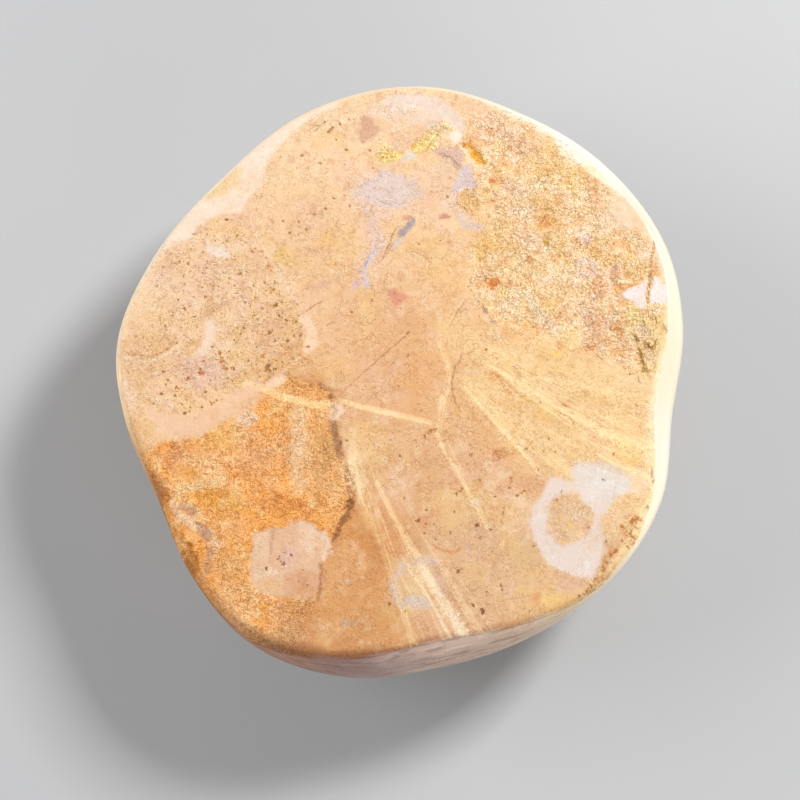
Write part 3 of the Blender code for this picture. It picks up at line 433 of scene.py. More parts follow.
# Small round spots and pores: colour, then x,y,radius of each
SPOTS = (
    ((150,94,56), (-22,-36.5,0.22, -20.8,-37.4,0.37, -19.6,-35.8,0.28, -24,-38.2,0.34, -17.6,-38.5,0.22,
    -18.1,-40.7,0.28, -16.7,-41.3,0.21, -21,-35.4,0.17)),
    ((192,118,50), (39.5,-30.5,0.34, 41.3,-29.7,0.37, 42.2,-29,0.3, 40.8,-31.9,0.28, 41.5,-32.9,0.26,
    39.4,-33.2,0.26, 38.3,-35.1,0.3, 37.3,-35.8,0.32, 36.4,-37.3,0.28, 35.8,-38.7,0.34, 34.6,-40.2,0.34,
    33.6,-41.4,0.32, 32.9,-42.5,0.28, 40.2,-34.1,0.21, 43.1,-29.5,0.22)),
    ((255,232,178), (40.4,-30.3,0.22, 40.7,-31.2,0.22, 38.9,-31.6,0.21, 41.9,-31,0.22, 36.8,-36.5,0.22,
    35.3,-39.3,0.22, 37.7,-36.9,0.21)),
    ((172,122,48), (-18.7,41.8,0.32, -10.4,42.9,0.3, -15.3,40.2,0.26, -12.9,47.4,0.22, -13.8,46.6,0.22,
    -12.3,44.9,0.21, -9.9,49.1,0.19, -14.4,48.7,0.17, -10.6,39.8,0.21, -8.3,44.7,0.19, -5.3,39.2,0.22,
    -11.6,48.3,0.19)),
    ((186,120,59), (-22.1,28.4,0.26, -19.1,28.2,0.22, -20.9,26,0.26, -19.4,25.6,0.21, -16.3,29.8,0.21,
    -17.7,26.6,0.19, -14,26,0.19, -12.6,33,0.24, -10.5,33.5,0.19, -14.2,30.8,0.22, -9.6,31.4,0.19,
    -27.7,22.2,0.28, -25.9,22.2,0.24, -24.7,19.2,0.21, -30.6,25.4,0.21, -25.2,16,0.21, -23.7,14.6,0.19,
    -5.9,42.7,0.28, 5.7,16,0.21, 3.2,23.8,0.19, 7.3,24.4,0.17, 9.2,37.3,0.19, 8.8,33.2,0.26, -0.2,11,0.19,
    -9.1,10.3,0.22, -5.4,12.6,0.19)),
    ((164,102,43), (-38.6,25.6,0.28, -39.6,19.8,0.21, -29.9,17.8,0.24, -36.2,13.2,0.24, -28.8,12,0.3,
    -22.5,9.5,0.24, -40,10.9,0.3, -43.4,7.5,0.26, -38.5,13.2,0.19, -28.9,7.1,0.3, -24.1,6.1,0.34,
    -22.6,5.2,0.22, -20.9,4.6,0.35, -18.6,5.6,0.21, -17.1,3.4,0.21, -28,0.7,0.26, -26.5,0.1,0.19,
    -30.6,-0.8,0.3, -32.4,-0.8,0.21, -22.9,-0.8,0.26, -25.7,11,0.22, -26.4,8.7,0.21, -21.2,8.7,0.21,
    -19.3,8.3,0.21, -43.5,-1.4,0.32, -42.5,-3,0.22, -43.6,-5.7,0.3, -36.2,-8.1,0.26, -33.7,-6.8,0.3,
    -35.7,-5.3,0.22, -41.2,-6,0.21, -45.8,-4.5,0.19, -34.7,3.4,0.19, -31.4,2.5,0.21, -41.2,12.6,0.19,
    -32.8,22.2,0.21)),
    ((150,98,24), (-23.1,11.6,0.41, -39.3,-9.3,0.37, -32.7,28.6,0.28, -41.1,20.2,0.26, -40.4,17.4,0.28,
    -38,9.3,0.26, -24,-1.2,0.3, -42.5,19.8,0.19, -36.1,20.2,0.19)),
    ((212,113,56), (-36.6,-1.6,0.49, -38.9,-2.8,0.35, -40.9,-4.5,0.37, -34.4,-7.6,0.26)),
    ((206,126,42), (-33.2,2.1,0.41, -32.8,0.7,0.41, -25.3,1.7,0.45, -32,-0.8,0.34)),
    ((142,85,32), (13.6,-30.3,0.41, 10.1,-38.9,0.37, 14.4,-46,0.54, 12.7,-44.9,0.26, 31.6,-43.6,0.41,
    15.9,-31.2,0.26, 3,-29.5,0.3, 4.3,-30.1,0.19, -2,-44.7,0.24)),
    ((172,109,49), (12.6,-17.2,0.35, 8.5,-17.6,0.22, 19.4,-23.4,0.28, 20.8,-24.9,0.3, 22.1,-24,0.24,
    19.8,-21.6,0.24, 23.7,-34.1,0.24, 17.7,-41.3,0.26, 22.7,-46,0.24, 33.6,-30.8,0.26, 4.1,-31.8,0.24,
    5.9,-30.3,0.22, 4.5,-27.5,0.21, 9.6,-27.9,0.22, 16.8,-25.1,0.19, 14.1,-32.7,0.22, 6.2,-32.9,0.19,
    8.9,-31.8,0.26, 0.5,-46.1,0.21, 2.3,-52.2,0.32, 17.9,-42,0.19, 27.8,-16.7,0.22, 22.6,-16.1,0.19,
    38.4,-17.1,0.22, 36.3,-21.9,0.26, 15.6,2.8,0.24, 41.8,-1.8,0.22, 36.8,-9.7,0.26, 42.9,-7.9,0.21,
    25.3,-7.2,0.22, 26.8,-14.2,0.21, 15.2,-42.5,0.21, 28,-25.7,0.22, 1.3,1.7,0.19, 1.3,6,0.24)),
    ((190,124,60), (4.3,-13.8,0.3, 5.4,-12.7,0.34, 6.3,-12.5,0.24, -2,-14.4,0.19, -5.7,-29.4,0.22,
    0.5,-25.3,0.19, -3.8,-20.1,0.17, 9.9,-24.5,0.26, 10.9,-23.6,0.21, -0.2,-17.4,0.21, 24.7,-20.1,0.19,
    14.2,-21.9,0.22, 6.1,-21.6,0.19, -9.8,-14.6,0.19)),
    ((96,56,22), (28.9,-24,0.24, 36.5,-33.4,0.26)),
    ((250,206,128), (28.2,-29.7,0.41, 29.5,-28.6,0.37, 30.2,-30.1,0.37, 27.8,-26.6,0.37, 28.9,-33.4,0.45,
    29.8,-31.2,0.3)),
)

# Ridges (above 0) and furrows (below 0) left by grinding and by the plates' seams, painted pale on the
# ridges, partly painted highlight, and brown in the furrows, painted shade: strength, half width at
# the start and at the end, route
STREAKS = (
    (1.1,0.5,0.9, (-29.4,-3.2, -25.4,-4.5, -21.7,-6, -18,-7, -14.4,-7.6, -11.1,-7.4)),
    (1.25,0.5,0.42, (-12.2,-6.6, -8.2,-7.8, -3.8,-8.9, 0.7,-10, 6.9,-11.8)),
    (0.55,0.85,1, (6.6,5.6, 7.5,2.8, 8.6,-0.3, 8.6,-4.1, 7.6,-8.3, 7,-13.1)),
    (0.7,0.45,0.5, (6.6,5, 7.3,2.8, 8.2,0.5)),
    (0.7,0.6,0.8, (7.6,-5.3, 7.2,-9.1, 6.9,-13.1)),
    (0.58,0.25,0.4, (17,-9.9, 21.7,-14.4, 26.3,-18.6, 30.6,-21.9)),
    (0.42,0.25,0.45, (28.7,-2.4, 35.9,-4.5, 45.3,-7.4)),
    (1.1,0.38,0.34, (5.8,-10.8, 6.7,-13.5, 8.1,-16.7, 9.7,-19.7, 11.1,-22.3, 12.5,-25.1, 14.1,-28.1,
    15.5,-30.8, 16.7,-33.2)),
    (0.7,0.3,0.3, (8.3,-14.4, 9.9,-18.2, 11.5,-21.7)),
    (0.5,0.9,0.5, (10.4,-1, 14.4,-6.2, 17.9,-10.4, 20.8,-14)),
    (1.2,0.34,0.4, (10.7,-3.3, 14,-7.4, 16.9,-10.8, 19.5,-13.8, 21.7,-16.3, 23.6,-18.7, 25.5,-21.4)),
    (1.25,0.32,0.38, (15.2,0.3, 18.1,-1.4, 21.7,-3.5, 25.3,-6, 28.9,-8.7)),
    (1,0.5,1.3, (27.8,-7.9, 32.1,-10.2, 36,-12.5, 40.5,-14.6, 46,-16.5)),
    (0.85,0.26,0.28, (21.8,-11, 22.8,-13.3, 24.8,-15.4, 26.5,-17.2)),
    (0.95,0.25,0.27, (26.2,-16.5, 27.9,-18.4, 29.7,-20.2, 31.1,-21.9)),
    (0.8,0.22,0.25, (24.6,-16.1, 26.7,-18.4, 28.6,-20.6)),
    (0.8,0.22,0.3, (27.4,-17.2, 29.4,-19.1, 31.7,-21.2)),
    (0.85,0.26,0.3, (27.4,-8.9, 29.9,-10.2, 32.1,-12.1, 34.2,-14)),
    (0.65,0.28,0.34, (25.2,-11.8, 28.4,-13.7, 32,-15.9, 35.9,-18.2)),
    (1,0.36,0.55, (34.5,-16.5, 38,-18.6, 41.6,-20.2, 45.8,-22.1)),
    (0.6,0.4,0.6, (29.9,-12.5, 34.2,-14.8, 39.2,-16.7, 45.2,-18.6)),
    (0.5,0.5,0.9, (23.5,-2.2, 34.4,-4.5, 45.3,-6.8)),
    (0.6,0.4,0.7, (31.6,-8.3, 37.9,-10.2, 44.2,-12.9)),
    (0.6,0.22,0.25, (15.1,-5.8, 18.9,-9.9, 22.2,-13.7)),
    (0.55,0.22,0.25, (18,-6, 21.6,-9.5, 25.2,-13.3)),
    (0.5,0.3,0.4, (32.7,-2.6, 38.4,-4.9, 44.4,-7.2)),
    (0.5,0.25,0.3, (19.5,-3.7, 23.5,-6.4, 27.4,-9.5)),
    (0.55,1,0.5, (-9.2,-15.9, -8.5,-20.1, -7.4,-24.7, -5.2,-30.3, -3,-35.2, -1.4,-38.2)),
    (0.55,0.35,0.4, (-6.3,-23.4, -4.1,-27.9, -1.4,-33.2)),
    (1,0.42,0.9, (-4.9,-21.6, -2.4,-26.6, -0.2,-30.8, 1.9,-34.5, 4.1,-38.5, 6.2,-42.2, 8.6,-46.5,
    11.9,-51.9)),
    (0.85,0.26,0.32, (-0.6,-34.7, 1.9,-39.1, 4.8,-43.6, 7.2,-47.9, 9.6,-52)),
    (0.5,0.24,0.3, (-0.6,-38.9, 2.6,-44.3, 6.1,-51.2)),
    (0.45,0.24,0.3, (-2.7,-36.7, 0.5,-43.3, 3.7,-50.1, 5.1,-53.3)),
    (-0.7,0.8,1.1, (-8.8,-26.4, -7,-30.3, -5.4,-34, -3,-38.4)),
    (-0.5,0.5,0.8, (-5.2,-34, -3,-39.4, -0.6,-45.8, 1.7,-51.5)),
    (-0.5,0.3,0.4, (-2,-28.6, 0.5,-34, 2.5,-37.4)),
    (-0.6,0.3,0.4, (7.6,-40.4, 9,-43.6, 10.7,-46.9, 13,-50.3)),
    (-0.7,0.4,0.5, (16.4,-1.2, 18.8,-3, 21.3,-5.3, 23.8,-7.2)),
    (-0.6,0.3,0.45, (10.2,-5.3, 12.5,-8.7, 15.4,-12.5, 18.6,-15.9)),
    (-0.5,0.25,0.3, (23.3,-14.4, 25.5,-16.3, 27.9,-18.9)),
    (-0.5,0.25,0.3, (28.5,-9.7, 31.5,-11.9, 34.5,-14.6)),
    (-0.45,0.25,0.4, (31.3,-15.5, 35.2,-17.6, 39.1,-19.7)),
    (-0.4,0.3,0.4, (28.1,-8.9, 31.5,-11.4, 36,-14)),
)

# Thin lines: colour, half width, route
LINES = (
    ((252,218,188), 0.26, (-29.4,31.4, -27.8,27.4, -25.9,23.6, -24.4,21, -22.8,18.4, -21.3,15.4, -19.8,13.2,
    -18.1,11)),
    ((251,214,176), 0.26, (-17.8,2.1, -19.2,0.7, -21,-1, -22.5,-2.2)),
    ((252,220,186), 0.22, (-50.3,9.9, -47.1,11, -43.7,10.3, -40.7,8.7, -40.1,6)),
    ((254,225,187), 0.3, (-52,1.7, -48.5,0.9, -45.2,1.1, -42.7,2.3, -40.6,4, -38.4,5.2)),
    ((204,144,96), 0.14, (-51.2,2.6, -48.6,1.9, -46,1.7, -43.8,2.5, -41.7,4)),
    ((200,152,108), 0.14, (-1.3,24.2, -2.1,22.8, -3,21.4, -3.9,20.2)),
    ((198,140,92), 0.13, (-11.5,-6.2, -9,-3.7, -4.8,0.5, -1.1,3.8, 2.2,7.1)),
    ((184,134,96), 0.16, (11.3,2.6, 10.8,0.7, 9.9,-0.6, 9.3,-3.9, 9.6,-6.4, 10.9,-9.1)),
    ((214,156,102), 0.28, (47,27, 47.3,24, 46.6,20.8, 46.4,18, 45.9,15.2, 45.4,11.2)),
    ((190,146,102), 0.12, (28.1,-8.9, 29.9,-9.7, 31,-10.6, 31.7,-12.1)),
    ((186,132,104), 0.18, (44.9,-18.9, 45.2,-20.4, 45.3,-21.9, 45.8,-23.4, 45.4,-25.1, 44.6,-26.4,
    43.5,-27.5)),
    ((222,146,82), 0.24, (5.5,-33.8, 6.9,-34.7, 8.7,-35.2, 9.8,-35.1, 10.8,-34.3)),
    ((184,126,64), 0.12, (18.6,-26.6, 18.2,-28.8)),
    ((242,198,162), 0.14, (17.9,-36.7, 19,-38, 19.7,-40, 19.5,-42.2, 19.2,-44.3)),
    ((190,140,96), 0.09, (1.3,22.2, 2.8,22.2, 4.3,21.2, 5.7,20)),
    ((190,140,96), 0.08, (6.5,20.8, 7.8,21, 8.7,21.8)),
    ((190,144,96), 0.09, (12.7,13.2, 11.4,11.6, 10.5,10.3, 9.7,8.7, 9,7.3)),
    ((186,142,128), 0.14, (6.6,42.3, 7.9,41.6, 9.2,41.6, 10.2,40.6, 10.9,39.4)),
    ((254,229,199), 0.17, (0.7,-36.7, 2.6,-40, 4.2,-42.5, 6.2,-46.1, 7.9,-49.4, 9.3,-51.5)),
    ((252,218,172), 0.09, (-0.6,-38.9, 1.6,-42.5, 4,-46.5)),
    ((254,224,174), 0.11, (21,-4.3, 23.5,-5.8, 26.4,-7.2, 28.7,-8.3)),
    ((254,222,172), 0.09, (22.5,-12.1, 26,-15.9, 29.3,-20.1)),
    ((254,222,172), 0.09, (25.2,-13.3, 28,-16.7, 30.8,-19.3)),
    ((254,222,172), 0.12, (35.6,-16.3, 38.8,-18.2, 42.3,-19.9, 45.9,-21.6)),
    ((252,240,228), 0.09, (32.2,-20.1, 35.8,-21.6, 39.7,-23.4, 42.9,-24.5)),
    ((252,240,228), 0.08, (34.4,-19.3, 38,-20.8, 41.5,-22.3)),
    ((206,160,124), 0.12, (-22.9,-31, -23,-33, -23.3,-35.2)),
    # Painted shade: the next row, a dark line along the ledge's lower end by the shell island's right edge.
    ((188,130,98), 0.26, (-14.2,-37.4, -14.2,-39.4, -14.4,-41.8, -14.7,-44.3)),
    ((152,94,32), 0.2, (43.5,3.6, 44,2.5, 44.3,1.1, 44.6,-0.3)),
    ((156,98,42), 0.2, (42.5,6.3, 43.3,5.4, 44,4.4)),
    ((140,86,26), 0.2, (45,4.8, 46,3.2)),
    ((166,108,52), 0.16, (46,3.4, 46.6,4.2, 47,5.2)),
    ((172,112,46), 0.13, (44.8,0.5, 45.3,-1.8)),
    ((156,116,70), 0.12, (44.6,9.5, 44.9,7.7)),
    ((168,120,76), 0.12, (47,9.3, 47.1,8.5, 46.7,7.5)),
    ((150,104,78), 0.16, (48.2,8.1, 48.5,7.1, 49.3,6.5)),
    ((110,72,44), 0.12, (49.5,7.1, 49.8,6.3)),
    ((178,130,76), 0.1, (43.1,-1.2, 43.3,-2.4, 43.6,-3.5)),
    ((158,112,56), 0.12, (36.3,1.5, 37,0.9)),
    ((176,126,70), 0.1, (41.5,-0.3, 42,-0.8)),
    ((214,142,80), 0.2, (28.9,-7, 29.8,-7.8, 30.9,-8.3)),
    ((190,138,72), 0.11, (11.2,33.2, 12.4,32, 13.3,30.8)),
    ((196,144,76), 0.1, (12,34.1, 13.3,32.6, 14.4,31.2)),
    ((190,138,72), 0.1, (12.9,34.3, 14.1,33.2, 14.8,32)),
    ((186,132,66), 0.1, (11,31.8, 12.9,30.2)),
    ((160,100,78), 0.1, (48.2,1.5, 48.7,2.3)),
    ((166,118,76), 0.1, (-13.8,7.5, -12.9,8.1, -11.8,8.3)),
    ((192,142,106), 0.13, (-17.7,10.3, -15.9,11.6, -14.1,12.6)),
    ((222,172,122), 0.12, (-31.5,25.4, -30,24.6, -28.1,23.4, -27.4,22.2)),
    ((188,170,172), 0.12, (-3.8,32.4, -2.8,31.8, -1.7,32.2, -0.8,32)),
    ((196,178,176), 0.1, (-7.7,35.3, -6.6,35.9, -5.5,35.5)),
    ((206,188,184), 0.1, (-3.2,35.9, -2.3,34.7, -1.3,34.3)),
    ((168,158,176), 0.12, (-5.8,21.2, -6.3,20.2, -6.7,19)),
    ((196,142,104), 0.16, (-0.9,27, -1.9,24.6, -2.6,22.8, -3.5,21)),
)

# Bundles of grinding lines: where they fan out from, the headings they lie between, and how
# near and far they run
FANS = (((-13, -2), -78, -54, 12, 62), ((1, 12), -50, -18, 10, 58))

DASH_SIZE = 0.92                # cells whose borders make the short dark dashes in rough ground

# Fields that shape the face and its paint, which the material doesn't read
SCULPTING_ONLY = ("hollow", "granular", "pocket", "rubble", "from_ledge", "pit_tint")

ATTRIBUTE_KINDS = {
    1: ("FLOAT", "value"), 3: ("FLOAT_VECTOR", "vector"), 4: ("FLOAT_COLOR", "color"),
}

# Mottles laid over a ground colour in turn: colour, strength, then the size, seed and layers
# of the random field, the values between which it comes in, and a mask that it keeps to
SAND_MOTTLES = (
    ((255,222,178), 0.2, 5.5,101,4, 0,0.9, "lively"), ((222,164,116), 0.24, 4,111,4, 0.1,1),
    ((244,200,172), 0.32, 6,121,3, 0.15,0.8, "lively"), ((250,206,138), 0.4, 6.5,131,3, 0.15,0.8),
    ((210,152,106), 0.34, 1.5,141,2, 0.35,1), ((255,228,192), 0.3, 1.4,151,2, 0.25,0.9),
    ((252,212,188), 0.3, 3,331,2, 0.15,0.6, "pitted"), ((252,210,146), 0.28, 1.7,341,2, 0.2,0.7, "pitted"),
)
GRANULAR_MOTTLES = (
    ((250,200,138), 0.55, 3.2,161,3, -0.1,0.6), ((253,216,184), 0.55, 3.8,171,3, 0.15,0.6),
    ((255,212,144), 0.6, 3,181,3, 0.15,0.6), ((244,178,118), 0.6, 2.6,191,3, 0.4,0.8),
    ((230,168,112), 0.55, 1.3,201,2, 0.25,0.9), ((255,234,202), 0.45, 1.2,211,2, 0.2,0.8),
)
HOLLOW_MOTTLES = (
    ((255,198,142), 0.8, 9,241,3, -0.1,0.5), ((255,176,84), 0.7, 5,251,3, 0.05,0.6),
    ((246,170,100), 0.5, 3,261,3, 0.15,0.8), ((255,216,160), 0.65, 2,271,2, 0.15,0.7),
    ((222,146,80), 0.6, 1.3,281,2, 0.3,0.9),
)
DOME_MOTTLES = (
    ((222,204,188), 0.45, 9,401,4, 0,0.8), ((198,182,178), 0.45, 12,411,4, 0.3,0.9),
    ((214,168,118), 0.5, 14,421,4, 0.3,0.9), ((255,248,236), 0.45, 5,431,4, 0.2,0.8),
    ((176,146,122), 0.3, 1.8,441,2, 0.4,1),
)

# Polished shell round the rim, by angle, and the line where it meets the sawn face. Past 255, at the
# left and the lower right, the values paint it lighter than its own cream: painted light.
RIM_COLOURS = (
    (0, 251,238,210), (20, 250,240,216), (35, 243,232,214), (48, 252,246,234), (65, 254,244,224),
    (78, 254,232,202), (100, 254,224,190), (140, 260,236,208), (170, 260,232,196), (192, 250,208,160),
    (208, 198,142,94), (232, 184,126,84), (246, 182,136,112), (262, 180,148,140), (276, 219,189,172),
    (292, 230,200,175), (308, 260,234,198), (324, 272,255,222), (340, 254,244,224),
)
# Border of the sawn face, by angle: colour, strength, width. Its dark brown at the lower left is
# partly painted shade along the edge.
EDGE_COLOURS = (
    (0, 255,238,200, 0.85, 1.4), (12, 254,232,192, 0.5, 0.9), (26, 254,234,200, 0.75, 1.5),
    (36, 250,226,194, 0.7, 1.6), (47, 255,249,230, 0.95, 2.1), (62, 255,248,224, 0.95, 1.6),
    (78, 252,228,194, 0.4, 1), (130, 252,226,192, 0.35, 1.3), (180, 250,214,170, 0.4, 1.2),
    (204, 214,150,92, 0.4, 1), (230, 204,142,86, 0.4, 1.1), (254, 146,92,60, 0.75, 1.1),
    (286, 174,118,78, 0.65, 0.9), (303, 238,188,128, 0.5, 1.1), (320, 255,228,172, 0.75, 1.5),
    (340, 255,236,190, 0.8, 1.5),
)
# How far the raw sand runs on over the rounded margin, by angle
RAW_REACH = (
    (0, 0.15), (160, 0.15), (190, 0.5), (204, 1.3), (226, 2.2), (244, 2), (258, 0.9), (270, 0.25),
    (284, 0.25), (298, 0.9), (318, 1.3), (332, 0.5), (345, 0.15),
)
# The bake map: a round island for the sawn face, up to a place MAP_REACH from the middle,
# and one for everything else
MAP_REACH = 58.0
FACE_ISLAND, FACE_ISLAND_WIDTH = (0.335, 0.665), 0.64
REST_ISLAND, REST_ISLAND_RADIUS = (0.755, 0.245), 0.232


def display(colour):
    """Reflectance of the stone whose lit colour shows as the given 0 to 255: the display's
    own curve undone, times the share that allows for the light."""
    share = np.asarray(colour, dtype=float) / 255.0
    low, high = share / 12.92, ((share + 0.055) / 1.055) ** 2.4
    return LIT_SHARE * np.where(share <= 0.04045, low, high)


# ---------- curves and fields

def round_curve(rows, angle):
    """Smooth closed curve through rows of (degrees, value, ...), read at angles in radians.

    Between two rows each value follows a cubic whose slopes come from the neighbouring rows.
    """
    knots = np.radians([row[0] for row in rows])
    knots = np.concatenate([knots - 2 * np.pi, knots, knots + 2 * np.pi])
    angle = np.mod(angle, 2 * np.pi)
    span = np.searchsorted(knots, angle, side="right") - 1
    width = knots[span + 1] - knots[span]
    t = (angle - knots[span]) / width
    curves = []
    for column in range(1, len(rows[0])):
        value = np.tile([float(row[column]) for row in rows], 3)
        slope = np.gradient(value, knots)
        curves.append(
            (2 * t**3 - 3 * t**2 + 1) * value[span]
            + (t**3 - 2 * t**2 + t) * width * slope[span]
            + (3 * t**2 - 2 * t**3) * value[span + 1]
            + (t**3 - t**2) * width * slope[span + 1]
        )
    return curves


def smooth_path(points, closed):
    """Catmull-Rom curve through the points: each span is a cubic whose end slopes are half
    the step between the neighbours on either side."""
    path = np.reshape(points, (-1, 2)).astype(float)
    if not closed:
        path = np.concatenate([[2 * path[0] - path[1]], path, [2 * path[-1] - path[-2]]])
    before, after, beyond = (np.roll(path, shift, axis=0) for shift in (1, -1, -2))
    t = np.arange(PATH_STEPS)[:, None, None] / PATH_STEPS
    curve = 0.5 * (
        2 * path
        + (after - before) * t
        + (2 * before - 5 * path + 4 * after - beyond) * t**2
        + (3 * path - before - 3 * after + beyond) * t**3
    )
    curve = curve.transpose(1, 0, 2)
    if closed:
        return curve.reshape(-1, 2)
    return np.concatenate([curve[1:-2].reshape(-1, 2), path[-2:-1]])


def lattice(x, y, size, seed):
    """Smooth random field between -1 and 1: a random value at each corner of a square
    lattice with cells of that size, joined along x and y by a quintic fade."""
    side = 256                  # cells after which the field starts again
    table = np.random.default_rng(seed).uniform(-1.0, 1.0, (side, side))
    u, v = x / size + 1000.0, y / size + 1000.0
    i, j = np.floor(u).astype(int), np.floor(v).astype(int)
    fade = [f**3 * (f * (f * 6 - 15) + 10) for f in (u - i, v - j)]
    rows = [
        table[k % side, j % side] * (1 - fade[1]) + table[k % side, (j + 1) % side] * fade[1]
        for k in (i, i + 1)
    ]
    return rows[0] * (1 - fade[0]) + rows[1] * fade[0]


def layered(x, y, size, seed, layers=3):
    """Sum of lattices, each half the size and half the height of the one before."""
    return sum(lattice(x, y, size / 2**n, seed + n) / 2**n for n in range(layers))


def ramp(value, low, high):
    """Smooth step from 0 at low to 1 at high, flat at both ends."""
    t = np.clip((value - low) / (high - low), 0.0, 1.0)
    return t * t * (3 - 2 * t)


def to_path(x, y, path, closed):
    """Distance from each place to a path, how far along it the nearest point is, and the
    side it is on: 1 to the left of the way the path runs, -1 to the right."""
    starts = path if closed else path[:-1]
    ends = np.roll(path, -1, axis=0) if closed else path[1:]
    lengths = np.hypot(*(ends - starts).T)
    begins = np.concatenate([[0.0], np.cumsum(lengths)[:-1]])
    best = np.full_like(x, 1e9)
    along, side = np.zeros_like(x), np.ones_like(x)
    for start, end, length, begin in zip(starts, ends, lengths, begins):
        way = (end - start) / length
        dx, dy = x - start[0], y - start[1]
        run = np.clip(dx * way[0] + dy * way[1], 0.0, length)
        away = np.hypot(dx - way[0] * run, dy - way[1] * run)
        closer = away < best
        best = np.where(closer, away, best)
        along = np.where(closer, begin + run, along)
        side = np.where(closer, np.sign(way[0] * dy - way[1] * dx), side)
    return best, along, side


def inside(x, y, outline):
    """Signed distance to the smooth outline through the points: positive inside."""
    path = smooth_path(outline, True)
    best = to_path(x, y, path, True)[0]
    within = np.zeros(x.shape, dtype=bool)
    for (ax, ay), (bx, by) in zip(path, np.roll(path, -1, axis=0)):
        crosses = (ay > y) != (by > y)
        step = np.where(by == ay, 1.0, by - ay)
        within ^= crosses & (x < ax + (y - ay) * (bx - ax) / step)
    return np.where(within, best, -best)


def around(x, y, points, reach):
    """Indices of the places within reach of the box round the points."""
    points = np.reshape(points, (-1, 2))
    low, high = np.min(points, axis=0) - reach, np.max(points, axis=0) + reach
    return np.flatnonzero((x > low[0]) & (x < high[0]) & (y > low[1]) & (y < high[1]))


def near_route(x, y, route, reach):
    """The places within reach of a smooth route: their indices, their distance from it, how
    far along it they are, in millimetres and as a share of its length, and their side."""
    path = smooth_path(route, False)
    near = around(x, y, path, reach)
    away, along, side = to_path(x[near], y[near], path, False)
    return near, away, along, along / np.hypot(*np.diff(path, axis=0).T).sum(), side


def patches(x, y, rows):
    """Greatest signed distance to any patch, with the colour, strength and softness of it."""
    best = np.full_like(x, -FAR)
    tint = np.zeros(x.shape + (4,))
    soft = np.ones_like(x)
    for row in rows:
        near = around(x, y, row[-1], PATCH_REACH)
        depth = inside(x[near], y[near], row[-1]) + 0.25 * row[-2]
        more = depth > best[near]
        chosen = near[more]
        best[chosen] = depth[more]
        soft[chosen] = row[-2]
        tint[chosen] = (*display(row[0]), row[1] if len(row) == 4 else 1.0)
    return best, tint, soft


def marks(x, y):
    """For the line nearest to each place: distance from it, signed distance from its middle,
    half width there, tapered towards its ends, and its colour."""
    nearest, side = np.full_like(x, FAR), np.full_like(x, FAR)
    half = np.zeros_like(x)
    tint = np.zeros(x.shape + (4,))
    for colour, half_width, route in LINES:
        near, away, along, share, hand = near_route(x, y, route, MARK_REACH)
        taper = half_width * np.clip(6 * np.minimum(share, 1 - share), 0.0, 1.0) ** 0.5
        closer = away - half_width < nearest[near]
        chosen = near[closer]
        nearest[chosen] = (away - half_width)[closer]
        side[chosen] = (away * hand)[closer]
        half[chosen] = taper[closer]
        tint[chosen] = (*display(colour), 1.0)
    return nearest, side, half, tint


def spots(x, y):
    """Distance from the nearest round spot, the way from its centre with its radius, and its
    colour."""
    nearest = np.full_like(x, FAR)
    offset = np.full(x.shape + (3,), FAR)
    tint = np.zeros(x.shape + (4,))
    for colour, places in SPOTS:
        for px, py, radius in np.reshape(places, (-1, 3)):
            near = around(x, y, (px, py), MARK_REACH)
            away = np.hypot(x[near] - px, y[near] - py) - radius
            closer = away < nearest[near]
            chosen = near[closer]
            nearest[chosen] = away[closer]
            offset[chosen] = np.stack([x[chosen] - px, y[chosen] - py,
                                       np.full(len(chosen), radius)], axis=1)
            tint[chosen] = (*display(colour), 1.0)
    return nearest, offset, tint


def streaks(x, y):
    """Ridges less furrows: each is full at the middle of its route and falls off in a bell
    curve, whose half width runs evenly from its start to its end. Also the place in the
    strongest one: across it, along it, and its number."""
    ridges, furrows = np.zeros_like(x), np.zeros_like(x)
    strongest, stroke = np.zeros_like(x), np.zeros(x.shape + (3,))
    for number, (strength, first, last, route) in enumerate(STREAKS):
        near, away, along, share, hand = near_route(x, y, route, 3.2 * max(first, last))
        half = first + (last - first) * share
        body = abs(strength) * np.exp(-(away / half) ** 2 * 0.8)
        body *= ramp(share, -0.03, 0.12) * ramp(share, 1.04, 0.84)
        target = ridges if strength > 0 else furrows
        target[near] = np.maximum(target[near], body)
        chosen = near[body > strongest[near]]
        within = body > strongest[near]
        stroke[chosen] = np.stack([(away * hand)[within], along[within],
                                   np.full(len(chosen), 7.0 * number)], axis=1)
        strongest[chosen] = body[within]
    return ridges - furrows * (1 - ridges), stroke


def blend(first, second, share):
    """Colours of all places mixed towards one display colour, by one share or one for each."""
    share = np.clip(share * np.ones(len(first)), 0.0, 1.0)[:, None]
    return first * (1 - share) + display(second) * share


def ground_tone(x, y):
    """Colour of the sand: the broad tones weighted by bell curves about their centres."""
    total, colour = np.full(x.shape, 1e-6), np.zeros(x.shape + (3,))
    for tint, cx, cy, reach in TONES:
        weight = np.exp(-((x - cx) ** 2 + (y - cy) ** 2) / reach**2) + 1e-7
        total += weight
        colour += weight[:, None] * display(tint)
    return colour / total[:, None]


def mottled(x, y, colour, rows, within=1.0, masks=None):
    """The colours with each row's tint laid over them in turn, as far as its random field has
    come in, and as far as the row's own mask, or else the common one, lets it."""
    for tint, strength, size, seed, layers, low, high, *mask in rows:
        share = strength * (masks[mask[0]] if mask else within)
        colour = blend(colour, tint, share * ramp(layered(x, y, size, seed, layers), low, high))
    return colour


